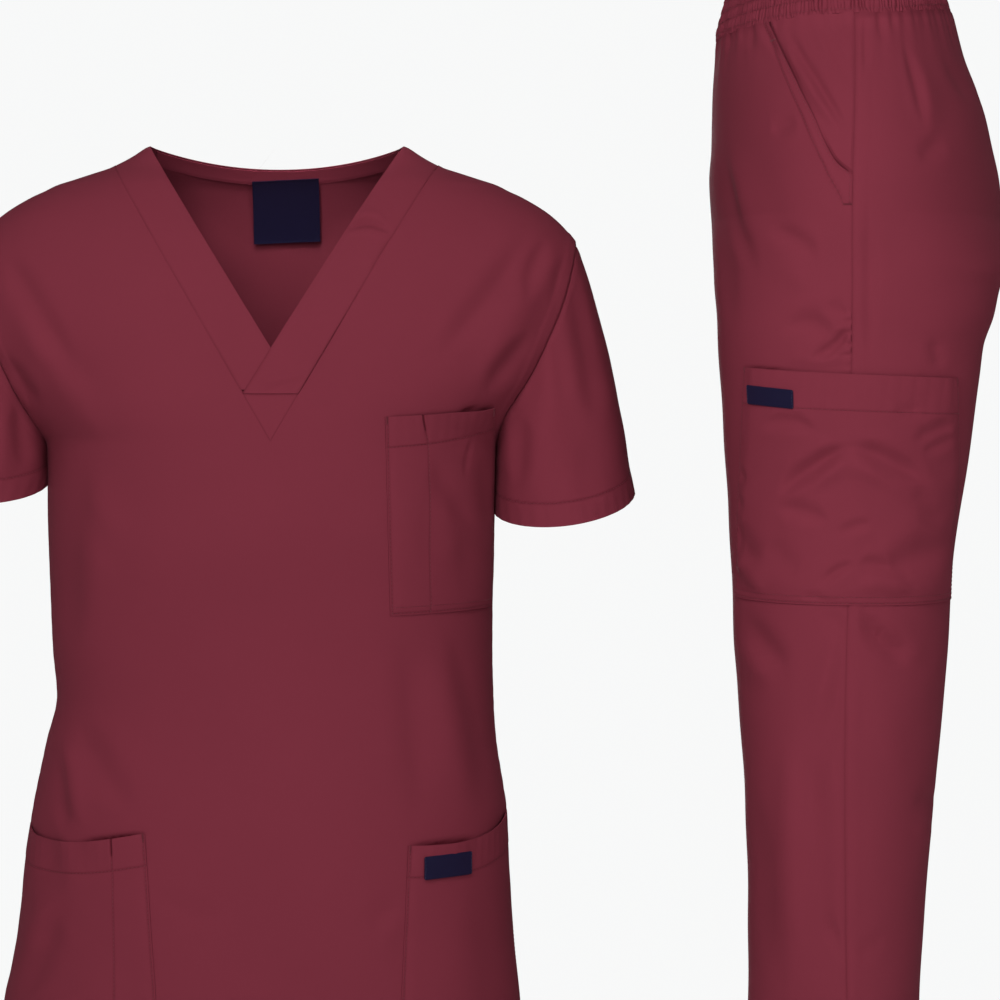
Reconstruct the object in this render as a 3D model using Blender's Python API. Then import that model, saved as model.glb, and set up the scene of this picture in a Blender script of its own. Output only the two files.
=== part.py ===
"""Medical scrubs, size XS, filled out as worn with nobody in them.

A V-neck short-sleeved top, and beside it the matching trousers. Sizes are in
millimetres, and cloth() turns them into metres.

Frame: +Z up. The top faces -Y, with the wearer's left at +X. The origin lies midway
between its two neck points, where shoulders carry it. The trousers hang to the +X
side and are turned about a quarter: their front faces -X and their left leg -Y.

Each pattern piece is a thin wall over a named surface: the torso, a sleeve, or the
trousers. A piece that lies on another one is worked out on the same surface, lifted.
"""

import bpy
import numpy as np

MM = 0.001
SEAM = 0.3                  # space between two pieces at a seam
PANEL = 1.2                 # wall of a panel
PATCH = 1.0                 # wall of a pocket, a band or a facing
PATCH_LIFT = 1.3            # underside of a patch above the panel's surface
WOVEN = 0.6                 # wall of a label or a tag
ELASTIC = 2.6               # wall of the elasticated waistband

WINE = (0.168, 0.032, 0.050, 1.0)
NAVY = (0.012, 0.012, 0.045, 1.0)


def table(names, *rows):
    """Named columns from rows, lowest first column first."""
    columns = np.array(sorted(rows), dtype=float).T
    return dict(zip(names.split(), columns))


# ---- The top. Heights are below the neck points. ----

SHOULDER_TIP = -76.0
UNDERARM = -228.0
TOP_HEM = -715.0
SIDE_TIP = 231.0            # half the distance between the shoulder tips

NECK_HALF = 97.8            # half the neck's width at the neck points
V_DEPTH = 158.6             # from the neck points down to the V's point
BAND_TOP = 124.36           # where the bands' outer seam meets the shoulder
BAND_APEX = -228.5          # where the two outer seams would meet
BAND_END = -193.0           # the crossed bands' straight lower edge
BACK_NECK_DROP = 14.6
LAP_LIFT = 1.6              # the upper band over the lower one, at the V's point

# Outline seen from the front. Above the underarm the torso's own curve runs on
# inside the sleeve; the armhole cuts it off.
OUTLINE = table(
    "z left right",
    (0, 97.8, 97.8), (-3.1, 103, 103), (-7.7, 110, 110), (-12.3, 118, 118), (-17, 128, 128),
    (-21.6, 142, 142), (-26.2, 156, 156), (-30.8, 170, 170), (-35.4, 179, 179), (-40, 189, 189),
    (-53, 210, 210), (-64.7, 222.5, 222.5), (-76, 231, 231), (-89, 237, 237),
    (-119, 240, 241), (-145, 236, 240), (-178, 214, 222), (-208, 184, 196),
    (-221, 173.6, 183), (-228, 170.6, 177.5), (-234, 169.4, 176.4), (-284, 167.1, 175.5),
    (-319, 166.6, 174.6), (-353, 165.5, 173.3), (-388, 165.5, 171.7), (-423, 166.3, 168.7),
    (-457, 167.8, 176.2), (-492, 171.6, 182), (-515, 174.5, 185.6), (-550, 176.2, 190.6),
    (-584, 178.3, 194.3), (-619, 181.1, 199), (-657, 185, 207), (-715, 189, 214),
)
ARMHOLE = table(
    "z left right",
    (-76, 231, 231), (-89, 229, 231), (-119, 222, 226), (-145, 212, 219), (-178, 196, 205),
    (-194, 185.5, 197), (-208, 176.5, 188.5), (-221, 171.9, 180.5), (-228, 170.6, 177.5),
)
# How far the front and back stand from the plane of the shoulders, at the middle,
# and the power of the rounded slice there.
DEPTH = table(
    "z front back power",
    (0, 30, 34, 2.6), (-8, 38, 46, 2.6), (-17, 45, 56, 2.6), (-30, 58, 68, 2.6),
    (-50, 72, 82, 2.6), (-76, 86, 95, 2.55), (-120, 100, 108, 2.5), (-160, 108, 113, 2.4),
    (-228, 116, 111, 2.3), (-284, 116, 107, 2.3), (-353, 108, 100, 2.3), (-423, 102, 98, 2.3),
    (-492, 106, 106, 2.3), (-550, 110, 114, 2.3), (-619, 114, 119, 2.3), (-715, 118, 122, 2.3),
)

# Sleeve hems: rings tilted so that the front hangs lower.
SLEEVE_HEMS = {
    "left": {"x": 222.2, "z": -273.1, "half_width": 53.4, "rise": 0.12},
    "right": {"x": -235.0, "z": -257.0, "half_width": 57.0, "rise": 0.02},
}
SLEEVE_HALF_DEPTH = 60.0
SLEEVE_FRONT_DROP = 0.32
SLEEVE_CROWN = 16.5         # how far the outer line stands out from a straight one
SLEEVE_FRONT_FULL = 7.0     # the same for the front and back of the sleeve

# Patch pockets on the front: the inner and outer edges at the top and the bottom,
# and the height of the top edge at its inner end, middle and outer end.
CHEST_POCKET = {
    "top": (85.4, 166.6), "bottom": (89.1, 163.3),
    "opening": (-210.3, -206.5, -201.8), "base": (-359.7, -353.8),
}
LOWER_LEFT_POCKET = {
    "top": (102.6, 175.6), "bottom": (95.5, 188.6),
    "opening": (-532.8, -527.8, -508.0), "base": (-690.0, -690.0),
}
LOWER_RIGHT_POCKET = {
    "top": (-95.1, -187.6), "bottom": (-83.0, -213.6),
    "opening": (-523.2, -531.5, -518.5), "base": (-690.0, -690.0),
}
POCKET_GAPE = 1.5           # how far a pocket's mouth stands off

TAG_ON_TOP = {"x": (115.5, 150.0), "top": (-541.5, -538.6), "height": 17.4}
NECK_LABEL = {"x": (-22.4, 31.7), "top": (-22.8, -20.6), "height": 48.5}
NECK_TAPE_WIDTH = 12.0

# ---- The trousers. A leg's slice is an ellipse in f, forward, and s, to the side. ----

TROUSERS_X = 442.1          # the waist's middle along X
TROUSERS_TURN = 3.7         # degrees past a quarter turn, so that both legs line up
WAIST_SEAM = 90.8           # height of the band's lower seam at the sides
WAIST_DIP = 10.8            # how much lower it is in front, and higher behind
BAND_HEIGHT = 32.0
HIP = -60.0                 # down to here the two legs share one slice
CROTCH = -150.0
TROUSER_HEM = -887.0

TROUSERS = table(
    "z half front back seam",
    (124, 126, 96.2, 69.3, -2.4), (112, 126, 97.2, 72.3, -2.4), (101, 126, 99.7, 76.3, -2.4),
    (84.7, 129, 103.3, 81.3, -2.4), (66, 141, 104.7, 86.9, -2.4), (43, 156, 106.4, 95.3, -2.4),
    (20, 167, 107.2, 103, -2.1), (-3, 174.5, 107.7, 108.3, -1.5), (-26, 178.5, 108.7, 113, -0.8),
    (-53, 180, 107.7, 116.1, 0), (-76, 179.5, 106, 118.6, 0), (-99, 178.5, 104.1, 118.5, 0),
    (-111, 177.8, 103.6, 112.4, 0), (-134, 175.6, 101.9, 107.1, 0), (-157, 173.4, 100.6, 98.9, 0),
    (-180, 172.5, 99.1, 95.9, 0.6), (-215, 171, 96.8, 91.5, 0.6), (-250, 169.3, 94.6, 86.9, 0.6),
    (-319, 166, 90.8, 76.3, 2), (-388, 163, 87.7, 71.9, 4.2), (-457, 161, 82.5, 65.9, 5.3),
    (-504, 159.6, 80.1, 61.4, 5.3), (-596, 157, 77.9, 53.9, 4.6), (-657, 155.5, 77.9, 50.9, 3.6),
    (-887, 151, 78.1, 49.9, 2),
)
LEG_GAP = table("z half", (-150, 0.4), (-215, 3), (-319, 7), (-457, 11), (-596, 15), (-887, 20))

# The slanting hand pocket: how far forward its edge is, by height.
SLANT = table("z f", (86, 62.5), (32.4, 33.1), (-5.2, 18), (-56, 0.15))
SLANT_FOOT = -56.0
FACING_BEHIND = 1.2         # degrees that the facing reaches behind the side seam
FACING_UNDER = 18.0         # degrees that it reaches under the front
FACING_DEPTH = 2.9          # its face below the panel's surface
FACING_FOOT = -72.0

# The cargo pocket wraps the left side seam: angles from the seam, forward and back.
CARGO = {
    "front": (52.8, 73.5), "back": (-54.8, -84.0),
    "opening": (-173.6, -179.8, -182.0), "base": (-345.0, -350.5, -347.0),
}
CARGO_TAG = {"angle": (51.0, 25.4), "top": (-187.5, -190.2), "height": 14.1}


# ---- Numbers to surfaces ----

def smooth(section, column, at):
    """A table's column between its rows, as a cubic that never overshoots them."""
    known = next(iter(section.values()))
    value = section[column]
    gap = np.diff(known)
    slope = np.diff(value) / gap
    tangent = np.zeros_like(value)
    tangent[0] = slope[0]
    tangent[-1] = slope[-1]
    same_way = slope[:-1] * slope[1:] > 0
    product = np.where(same_way, 2 * slope[:-1] * slope[1:], 0.0)
    tangent[1:-1] = product / np.where(same_way, slope[:-1] + slope[1:], 1.0)
    at = np.clip(np.asarray(at, dtype=float), known[0], known[-1])
    i = np.clip(np.searchsorted(known, at) - 1, 0, len(gap) - 1)
    t = (at - known[i]) / gap[i]
    start = value[i] * (1 + 2 * t) * (1 - t) ** 2 + gap[i] * tangent[i] * t * (1 - t) ** 2
    end = value[i + 1] * t * t * (3 - 2 * t) - gap[i] * tangent[i + 1] * t * t * (1 - t)
    return start + end


def three_heights(values, fraction):
    """A parabola through an edge's inner, middle and outer values."""
    inner, middle, outer = values
    bend = 4 * middle - 2 * inner - 2 * outer
    return inner + (outer - inner) * fraction + bend * fraction * (1 - fraction)


def unit(vectors):
    return vectors / np.linalg.norm(vectors, axis=-1, keepdims=True)


def outward(level, points, step=0.02):
    """Unit normals: the slope of a level function that grows outwards."""
    slope = np.empty_like(points)
    for axis in range(3):
        nudge = np.zeros(3)
        nudge[axis] = step
        slope[..., axis] = level(points + nudge) - level(points - nudge)
    return unit(slope)


def by_side(section, x, z):
    """The table's left value where x is positive, its right one elsewhere."""
    return np.where(x >= 0, smooth(section, "left", z), smooth(section, "right", z))


def torso_level(points):
    """Superellipse slices: |x / width| ^ power + (y / depth) ^ 2 - 1."""
    x, y, z = points[..., 0], points[..., 1], points[..., 2]
    depth = np.where(y < 0, smooth(DEPTH, "front", z), smooth(DEPTH, "back", z))
    power = smooth(DEPTH, "power", z)
    return np.abs(x / by_side(OUTLINE, x, z)) ** power + (y / depth) ** 2 - 1


def on_torso(x, z, face, lift=0.0):
    """Points at x and z on the torso's front or back, moved out by lift, and normals."""
    x, z = np.broadcast_arrays(np.asarray(x, dtype=float), np.asarray(z, dtype=float))
    depth = smooth(DEPTH, face, z)
    inside = 1 - np.abs(x / by_side(OUTLINE, x, z)) ** smooth(DEPTH, "power", z)
    reach = np.maximum(depth * np.sqrt(np.maximum(inside, 0.0)), SEAM / 2)
    points = np.stack([x, reach if face == "back" else -reach, z], axis=-1)
    normals = outward(torso_level, points)
    return points + normals * np.asarray(lift)[..., None], normals


def leg_ring(z):
    """A leg's ellipse at height z: its centre's distance to the side, and half-width.

    At the hips both legs share one slice. From there to the crotch the centre moves
    out, so that the front and back rises are quarter ellipses.
    """
    parted = np.clip((HIP - z) / (HIP - CROTCH), 0.0, 1.0)
    gap = np.where(z < CROTCH, smooth(LEG_GAP, "half", z), LEG_GAP["half"][-1] * parted)
    half = smooth(TROUSERS, "half", z)
    width = (half - gap) / (1 + parted)
    return half - width, width


def trouser_level(points):
    """Ellipse slices of the leg on the point's own side of the middle."""
    forward, side, z = points[..., 0], np.abs(points[..., 1]), points[..., 2]
    centre, width = leg_ring(z)
    across = (side - centre) / width
    forward = forward - smooth(TROUSERS, "seam", z) * across ** 2
    reach = np.where(forward > 0, smooth(TROUSERS, "front", z), smooth(TROUSERS, "back", z))
    return (forward / reach) ** 2 + across ** 2 - 1


def on_trousers(angle, z, leg, lift=0.0):
    """Points at an angle from the side seam, forwards positive, and their normals."""
    angle, z = np.broadcast_arrays(np.asarray(angle, dtype=float), np.asarray(z, dtype=float))
    centre, width = leg_ring(z)
    reach = np.where(angle > 0, smooth(TROUSERS, "front", z), smooth(TROUSERS, "back", z))
    forward = reach * np.sin(angle) + smooth(TROUSERS, "seam", z) * np.cos(angle) ** 2
    side = np.maximum(centre + width * np.cos(angle), SEAM / 2)
    points = np.stack([forward, side if leg == "left" else -side, z], axis=-1)
    normals = outward(trouser_level, points)
    place = np.array([TROUSERS_X, 0.0, 0.0])
    return place + in_room(points + normals * np.asarray(lift)[..., None]), in_room(normals)


def in_room(vectors):
    """Forward, left and up of the trousers turned into X, Y and Z."""
    turn = np.radians(TROUSERS_TURN)
    forward, left, up = vectors[..., 0], vectors[..., 1], vectors[..., 2]
    x = -forward * np.cos(turn) - left * np.sin(turn)
    y = forward * np.sin(turn) - left * np.cos(turn)
    return np.stack([x, y, up], axis=-1)


# ---- Surfaces to solids ----

def material(name, colour):
    made = bpy.data.materials.get(name)
    if made is None:
        made = bpy.data.materials.new(name)
        made.use_nodes = True
        shader = made.node_tree.nodes["Principled BSDF"]
        shader.inputs["Base Color"].default_value = colour
        shader.inputs["Roughness"].default_value = 0.85
        shader.inputs["Metallic"].default_value = 0.0
    return made


def cloth(name, skin, wall, colour=WINE, ring=False):
    """A closed wall from a grid of outer points and normals, its inner face wall below.

    A ring closes on itself from its last column to its first.
    """
    outer, normals = skin
    rows, columns = outer.shape[:2]
    across = columns if ring else columns - 1
    start = np.arange(rows - 1)[:, None] * columns
    first = start + np.arange(across)
    second = start + (np.arange(across) + 1) % columns
    quads = np.stack([first, second, second + columns, first + columns], axis=-1).reshape(-1, 4)
    outer = outer.reshape(-1, 3)
    normals = normals.reshape(-1, 3)
    corner = outer[quads[0]]
    if np.dot(np.cross(corner[1] - corner[0], corner[3] - corner[0]), normals[0]) < 0:
        quads = quads[:, ::-1]
    count = len(outer)
    skin_faces = folded_outwards(quads, outer, normals)
    faces = skin_faces + [face[::-1] for face in (np.array(skin_faces) + count).tolist()]
    mesh = bpy.data.meshes.new(name)
    points = np.concatenate([outer, outer - normals * wall]) * MM
    mesh.from_pydata(points.tolist(), [], faces + rim(quads, count))
    mesh.shade_smooth()
    mesh.set_sharp_from_angle(angle=np.radians(40))
    mesh.materials.append(material("navy_woven" if colour == NAVY else "wine_poplin", colour))
    made = bpy.data.objects.new(name, mesh)
    bpy.context.collection.objects.link(made)
    return made


def folded_outwards(quads, points, normals):
    """Two triangles for each quad, split along the diagonal that stands out more."""
    a, b, c, d = (points[quads[:, k]] for k in range(4))
    stands_out = np.sum((a + c - b - d) * normals[quads[:, 0]], axis=-1) >= 0
    along = quads[stands_out]
    other = quads[~stands_out]
    faces = np.concatenate([along[:, [0, 1, 2]], along[:, [0, 2, 3]],
                            other[:, [0, 1, 3]], other[:, [1, 2, 3]]])
    return faces.tolist()


def rim(quads, count):
    """Side faces along each edge that only one outer face uses."""
    edges = np.concatenate([quads[:, [k, (k + 1) % 4]] for k in range(4)])
    ordered = np.sort(edges, axis=1)
    key = ordered[:, 0] * count + ordered[:, 1]
    _, where, uses = np.unique(key, return_index=True, return_counts=True)
    free = edges[where[uses == 1]]
    below = free + count
    return np.stack([free[:, 1], free[:, 0], below[:, 0], below[:, 1]], axis=-1).tolist()


# ---- The top's pieces ----

PANEL_COLUMNS = (4, 6)      # from the middle to the neck's corner, and on to the edge
ARMHOLE_ROWS = 9
LOWER_ROWS = (0.13, 0.26, 0.4, 0.49, 0.61, 0.74, 0.87, 1.0)
YOKE = -292.0               # the rows above the underarm sag to here in the middle


def ridge(x):
    """Height of the shoulder line at x."""
    line = {"x": OUTLINE["left"][OUTLINE["z"] >= SHOULDER_TIP][::-1],
            "z": OUTLINE["z"][OUTLINE["z"] >= SHOULDER_TIP][::-1]}
    return smooth(line, "z", np.abs(x))


def front_neck(x):
    """Height of the seam between the front and the neck bands."""
    slope = (ridge(BAND_TOP) - BAND_APEX) / BAND_TOP
    return BAND_APEX + slope * np.abs(x) - SEAM * np.hypot(1, slope)


def back_neck(x):
    return -BACK_NECK_DROP * np.maximum(1 - (x / NECK_HALF) ** 2, 0.0)


def edge_of_panel(share, z):
    """x of the column at this share of the way out, at height z."""
    hole = np.where(z > UNDERARM, by_side(ARMHOLE, share, z), by_side(OUTLINE, share, z))
    return share * hole


def top_of_column(share, neck, corner):
    """Height where each column meets the neck seam or the shoulder line, by halving."""
    low = np.full(share.shape, BAND_APEX - 5)
    high = np.zeros(share.shape)
    for _ in range(40):
        middle = (low + high) / 2
        x = edge_of_panel(share, middle)
        limit = np.where(np.abs(x) < corner, neck(x), ridge(x))
        low = np.where(middle < limit, middle, low)
        high = np.where(middle < limit, high, middle)
    return low


def body_panel(face, neck, corner):
    """Rows and columns of the front or back, from its top edge to the hem.

    The upper rows end at the underarm, so that a sleeve can share the armhole's points.
    """
    start = np.arcsin((corner / SIDE_TIP) ** 1.15)
    inner = np.linspace(0, start, PANEL_COLUMNS[0] + 1)
    outer = np.linspace(start, np.pi / 2, PANEL_COLUMNS[1] + 1)[1:]
    half = np.sin(np.concatenate([inner, outer])) ** (1 / 1.15)
    share = np.concatenate([-half[:0:-1], half])
    top = top_of_column(share, neck, corner)
    middle = YOKE + (UNDERARM - YOKE) * np.abs(share) ** 2
    upper = (1 - np.cos(np.linspace(0, np.pi, ARMHOLE_ROWS + 1)))[:, None] / 2
    lower = np.array(LOWER_ROWS)[:, None]
    z = np.concatenate([top + (middle - top) * upper, middle + (TOP_HEM - middle) * lower])
    return on_torso(edge_of_panel(share, z), z, face)


def sleeve(side, front, back):
    """A tube from the armhole's points to the hem ring.

    Its lines run straight from one to the other and stand out by share ^ 0.7 times
    (1 - share) ^ 1.2, most along the outer line and not at all at the underarm.
    """
    hem = SLEEVE_HEMS[side]
    sign = 1 if side == "left" else -1
    column = -1 if side == "left" else 0
    edges = [part[0][:ARMHOLE_ROWS + 1, column] for part in (front, back)]
    normals = [part[1][:ARMHOLE_ROWS + 1, column] for part in (front, back)]
    edges[0][[0, -1], 1] = 0
    hole = np.concatenate([edges[0], edges[1][-2:0:-1]])
    hole_normal = np.concatenate([normals[0], normals[1][-2:0:-1]])
    turn = np.linspace(0, 2 * np.pi, len(hole), endpoint=False)
    cos, sin = np.cos(turn), np.sin(turn)
    end = np.stack([hem["x"] + sign * hem["half_width"] * cos,
                    -SLEEVE_HALF_DEPTH * sin,
                    hem["z"] + hem["half_width"] * hem["rise"] * cos
                    - SLEEVE_HALF_DEPTH * SLEEVE_FRONT_DROP * sin], axis=-1)
    along = unit(end - hole)
    under = ((1 - cos) / 2)[:, None] ** 2
    begin = hole + 2.6 * SEAM * unit(along * (1 - under) + hole_normal * under)
    share = np.array([0, 0.05, 0.15, 0.32, 0.54, 0.77, 1.0])[:, None, None]
    rise = np.maximum(cos, 0)[:, None] * SLEEVE_CROWN * np.array([sign, 0, 0.25])
    full = sin[:, None] * SLEEVE_FRONT_FULL * np.array([0, -1.0, 0])
    stand = share ** 0.7 * (1 - share) ** 1.2
    points = begin + (end - begin) * share + stand * (rise + full)
    around = np.roll(points, -1, axis=1) - np.roll(points, 1, axis=1)
    down = np.gradient(points, axis=0)
    normal = unit(np.cross(around, down)) * sign
    facing = np.sum(normal[0] * hole_normal, axis=-1, keepdims=True)
    blend = np.clip((facing + 0.2) / 0.7, 0, 1)
    normal[0] = unit(normal[0] * (1 - blend) + hole_normal * blend)
    return points, normal


def band(sign, lap, end):
    """A neck band: a strip from the shoulder past the V's point, both edges straight."""
    station = np.array([0, 0.012, 0.04, 0.09, 0.17, 0.28, 0.42, 0.57, 0.7, 0.81, 0.91, 1.0])
    shoulder = np.linspace(NECK_HALF, BAND_TOP - SEAM, 4)
    end_outer = BAND_TOP * (end - BAND_APEX) / (ridge(BAND_TOP) - BAND_APEX)
    end_inner = NECK_HALF * (1 + end / V_DEPTH)
    foot = np.linspace(end_inner, end_outer, 4)
    x = shoulder + (foot - shoulder) * station[:, None]
    z = ridge(shoulder) + (end - ridge(shoulder)) * station[:, None]
    rise = np.clip((-105 - z) / 45, 0, 1)
    return on_torso(sign * x, z, "front", lap * rise * rise * (3 - 2 * rise))


def insert():
    """The small triangle of the V below the crossed bands."""
    slope = (ridge(BAND_TOP) - BAND_APEX) / BAND_TOP
    z = np.linspace(BAND_END - SEAM, BAND_APEX + 3, 4)[:, None]
    half = (z - BAND_APEX) / slope - 2 * SEAM / slope
    return on_torso(np.linspace(-1, 1, 5) * half, z, "front")


def slice_angle(x, z):
    """The slice's angle at x: 0 in the middle, a quarter turn at the side seam."""
    share = np.abs(x / by_side(OUTLINE, x, z))
    return np.arcsin(np.clip(share, 0, 1) ** (smooth(DEPTH, "power", z) / 2))


def patch_pocket(pocket, columns=8, rows=6):
    """A patch between two edges, its columns evenly spaced round the body's side."""
    across = np.linspace(0, 1, columns + 1)
    down = np.linspace(0, 1, rows + 1)[:, None]
    mouth = three_heights(pocket["opening"], across)
    base = pocket["base"][0] + (pocket["base"][1] - pocket["base"][0]) * across
    z = mouth + (base - mouth) * down
    inner = pocket["top"][0] + (pocket["bottom"][0] - pocket["top"][0]) * down
    outer = pocket["top"][1] + (pocket["bottom"][1] - pocket["top"][1]) * down
    outer = np.sign(outer) * np.minimum(np.abs(outer), by_side(OUTLINE, outer, z) - 0.02)
    inner = np.broadcast_to(inner, z.shape)
    angle = slice_angle(inner, z) * (1 - across) + slice_angle(outer, z) * across
    x = np.sign(inner) * by_side(OUTLINE, inner, z) * np.sin(angle) ** (2 / smooth(DEPTH, "power", z))
    gape = POCKET_GAPE * np.sin(np.pi * across) * (1 - down) ** 4
    return on_torso(x, z, "front", PATCH_LIFT + PATCH + gape)


def flat_patch(place, face, lift, columns, rows):
    """A small rectangle, slightly tilted, on the torso."""
    across = np.linspace(0, 1, columns + 1)
    down = np.linspace(0, 1, rows + 1)[:, None]
    x = place["x"][0] + (place["x"][1] - place["x"][0]) * across
    z = place["top"][0] + (place["top"][1] - place["top"][0]) * across - place["height"] * down
    return on_torso(x + 0 * z, z, face, lift)


def neck_tape(back):
    """The strip inside the back neck, on the back panel's own columns."""
    top = back[0][0]
    x = top[np.abs(top[:, 0]) < NECK_HALF - 1, 0]
    z = back_neck(x) - np.array([[1.0], [NECK_TAPE_WIDTH]])
    return on_torso(x + 0 * z, z, "back", -PANEL - PATCH_LIFT)


def make_top():
    front = body_panel("front", front_neck, BAND_TOP)
    back = body_panel("back", back_neck, NECK_HALF)
    cloth("top_front", front, PANEL)
    cloth("top_back", back, PANEL)
    for side in ("left", "right"):
        cloth("sleeve_" + side, sleeve(side, front, back), PANEL, ring=True)
    cloth("neckband_left", band(1, LAP_LIFT, BAND_END + SEAM), PATCH)
    cloth("neckband_right", band(-1, 0.0, BAND_END + 3), PATCH)
    cloth("neck_insert", insert(), PATCH)
    cloth("back_neck_tape", neck_tape(back), WOVEN)
    label_depth = -PANEL - PATCH_LIFT - WOVEN - 0.5
    cloth("neck_label", flat_patch(NECK_LABEL, "back", label_depth, 5, 4), WOVEN, NAVY)
    cloth("chest_pocket", patch_pocket(CHEST_POCKET), PATCH)
    cloth("lower_pocket_left", patch_pocket(LOWER_LEFT_POCKET), PATCH)
    cloth("lower_pocket_right", patch_pocket(LOWER_RIGHT_POCKET), PATCH)
    tag_lift = PATCH_LIFT + PATCH + POCKET_GAPE + 0.5 + WOVEN
    cloth("pocket_tag", flat_patch(TAG_ON_TOP, "front", tag_lift, 4, 2), WOVEN, NAVY)


# ---- The trousers' pieces ----

LEG_COLUMNS = 8
LEG_ROWS = (40, 15, -10, -34, -56, -78, -100, -118, -133, -144, -150, -178, -225, -285,
            -325, -365, -450, -550, -660, -770, TROUSER_HEM)


def waist_seam(angle):
    return WAIST_SEAM - WAIST_DIP * np.sin(angle)


def middle_angle(z, reach):
    """Angle at which a leg's slice meets the middle seam, or the inseam lower down."""
    centre, width = leg_ring(z)
    inseam = np.pi - np.arcsin(SEAM / 2 / reach)
    return np.minimum(np.arccos(np.clip((SEAM / 2 - centre) / width, -1, 1)), inseam)


def trouser_panel(leg, face):
    """A front or back from the side seam, or the slant pocket's edge, to the middle."""
    share = np.linspace(0, 1, LEG_COLUMNS + 1)
    z = np.tile(np.array((WAIST_SEAM,) * 3 + LEG_ROWS, dtype=float)[:, None], LEG_COLUMNS + 1)
    for _ in range(3):
        reach = smooth(TROUSERS, face, z)
        start = np.full(z.shape, SEAM / 2)
        if face == "front":
            start = np.where(z > SLANT_FOOT, smooth(SLANT, "f", z), start)
        start = np.arcsin(start / reach)
        angle = start + (middle_angle(z, reach) - start) * share
        angle = angle if face == "front" else -angle
        seam = waist_seam(angle[0])
        z[:3] = LEG_ROWS[0] + (seam - LEG_ROWS[0]) * np.array([[1.0], [0.7], [0.35]])
    return on_trousers(angle, z, leg)


def waistband():
    """The elasticated ring above the panels."""
    angle = np.radians(np.linspace(-180, 180, 40, endpoint=False))
    z = waist_seam(angle) + 1.5 * SEAM + np.array([[BAND_HEIGHT], [0.0]])
    leg = np.cos(angle) >= 0
    folded = np.where(leg, angle, np.sign(angle) * np.pi - angle)
    left = on_trousers(folded + 0 * z, z, "left")
    right = on_trousers(folded + 0 * z, z, "right")
    return tuple(np.where(leg[:, None], a, b) for a, b in zip(left, right))


def pocket_facing(leg):
    """The cloth that shows in the slanting pocket, one layer below the panels."""
    share = np.linspace(0, 1, 5)
    down = np.linspace(0, 1, 8)[:, None]
    z = WAIST_SEAM - 10 + (FACING_FOOT - WAIST_SEAM + 10) * down
    slant = np.arcsin(smooth(SLANT, "f", z) / smooth(TROUSERS, "front", z))
    first = -np.radians(FACING_BEHIND)
    angle = first + (slant + np.radians(FACING_UNDER) - first) * share
    top = (waist_seam(angle) - WAIST_SEAM + 8) * (1 - down)
    return on_trousers(angle, z + top, leg, -FACING_DEPTH)


def cargo_pocket():
    """A patch round the left side seam, from its front edge to its back edge."""
    share = np.linspace(0, 1, 16)
    down = np.linspace(0, 1, 6)[:, None]
    front = CARGO["front"][0] + (CARGO["front"][1] - CARGO["front"][0]) * down
    back = CARGO["back"][0] + (CARGO["back"][1] - CARGO["back"][0]) * down
    angle = np.radians(front + (back - front) * share)
    mouth = three_heights(CARGO["opening"], share)
    base = three_heights(CARGO["base"], share)
    gape = POCKET_GAPE * np.sin(np.pi * share) * (1 - down) ** 4
    return on_trousers(angle, mouth + (base - mouth) * down, "left", PATCH_LIFT + PATCH + gape)


def cargo_tag():
    share = np.linspace(0, 1, 4)
    angle = np.radians(CARGO_TAG["angle"][0] + np.diff(CARGO_TAG["angle"])[0] * share)
    mouth = CARGO_TAG["top"][0] + np.diff(CARGO_TAG["top"])[0] * share
    z = mouth - CARGO_TAG["height"] * np.array([[0.0], [0.5], [1.0]])
    return on_trousers(angle, z, "left", PATCH_LIFT + PATCH + POCKET_GAPE + 0.5 + WOVEN)


def make_trousers():
    for leg in ("left", "right"):
        for face in ("front", "back"):
            cloth("trouser_" + face + "_" + leg, trouser_panel(leg, face), PANEL)
        cloth("pocket_facing_" + leg, pocket_facing(leg), PATCH)
    cloth("waistband", waistband(), ELASTIC, ring=True)
    cloth("cargo_pocket", cargo_pocket(), PATCH)
    cloth("cargo_tag", cargo_tag(), WOVEN, NAVY)


def main():
    for old in list(bpy.data.objects):
        bpy.data.objects.remove(old, do_unlink=True)
    make_top()
    make_trousers()


main()
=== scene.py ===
"""Medical scrubs, finished: a V-neck top and cargo trousers in wine poplin.

Sizes are in millimetres, in the frame of the solids: +Z up, the top facing -Y with its
origin midway between the neck points, the trousers to the +X side with their front
facing -X. sew_up() turns millimetres into metres.

Each pattern piece is a Cloth: a grid of points over the same surface as its solid, the
way out at each point, and how far the cloth rises there. Creases, seams, hems and
gathers change that rise, and seams and pocket mouths also get painted shade, a darker
colour where shade falls. Stitches are short threads laid along lines on the cloth.
"""

import bpy
import numpy as np
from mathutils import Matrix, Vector


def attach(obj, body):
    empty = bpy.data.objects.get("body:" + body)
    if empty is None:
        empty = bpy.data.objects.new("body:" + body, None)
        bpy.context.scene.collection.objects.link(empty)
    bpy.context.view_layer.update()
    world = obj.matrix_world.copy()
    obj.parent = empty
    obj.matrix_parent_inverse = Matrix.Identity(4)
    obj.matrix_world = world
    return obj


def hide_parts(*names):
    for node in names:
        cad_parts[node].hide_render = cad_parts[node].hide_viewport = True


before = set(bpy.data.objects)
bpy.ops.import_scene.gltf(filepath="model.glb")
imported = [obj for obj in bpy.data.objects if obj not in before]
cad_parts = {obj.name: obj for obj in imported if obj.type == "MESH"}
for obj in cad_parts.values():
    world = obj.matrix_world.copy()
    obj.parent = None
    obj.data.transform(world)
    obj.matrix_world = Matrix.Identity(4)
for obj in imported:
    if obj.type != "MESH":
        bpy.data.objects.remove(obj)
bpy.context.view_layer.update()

MM = 0.001
TOUCH = -0.05               # two pieces meet at a seam, a hair past the middle
POPLIN = 0.9                # wall of one or two layers of poplin
RIBBON = 0.5                # wall of a woven label


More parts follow.
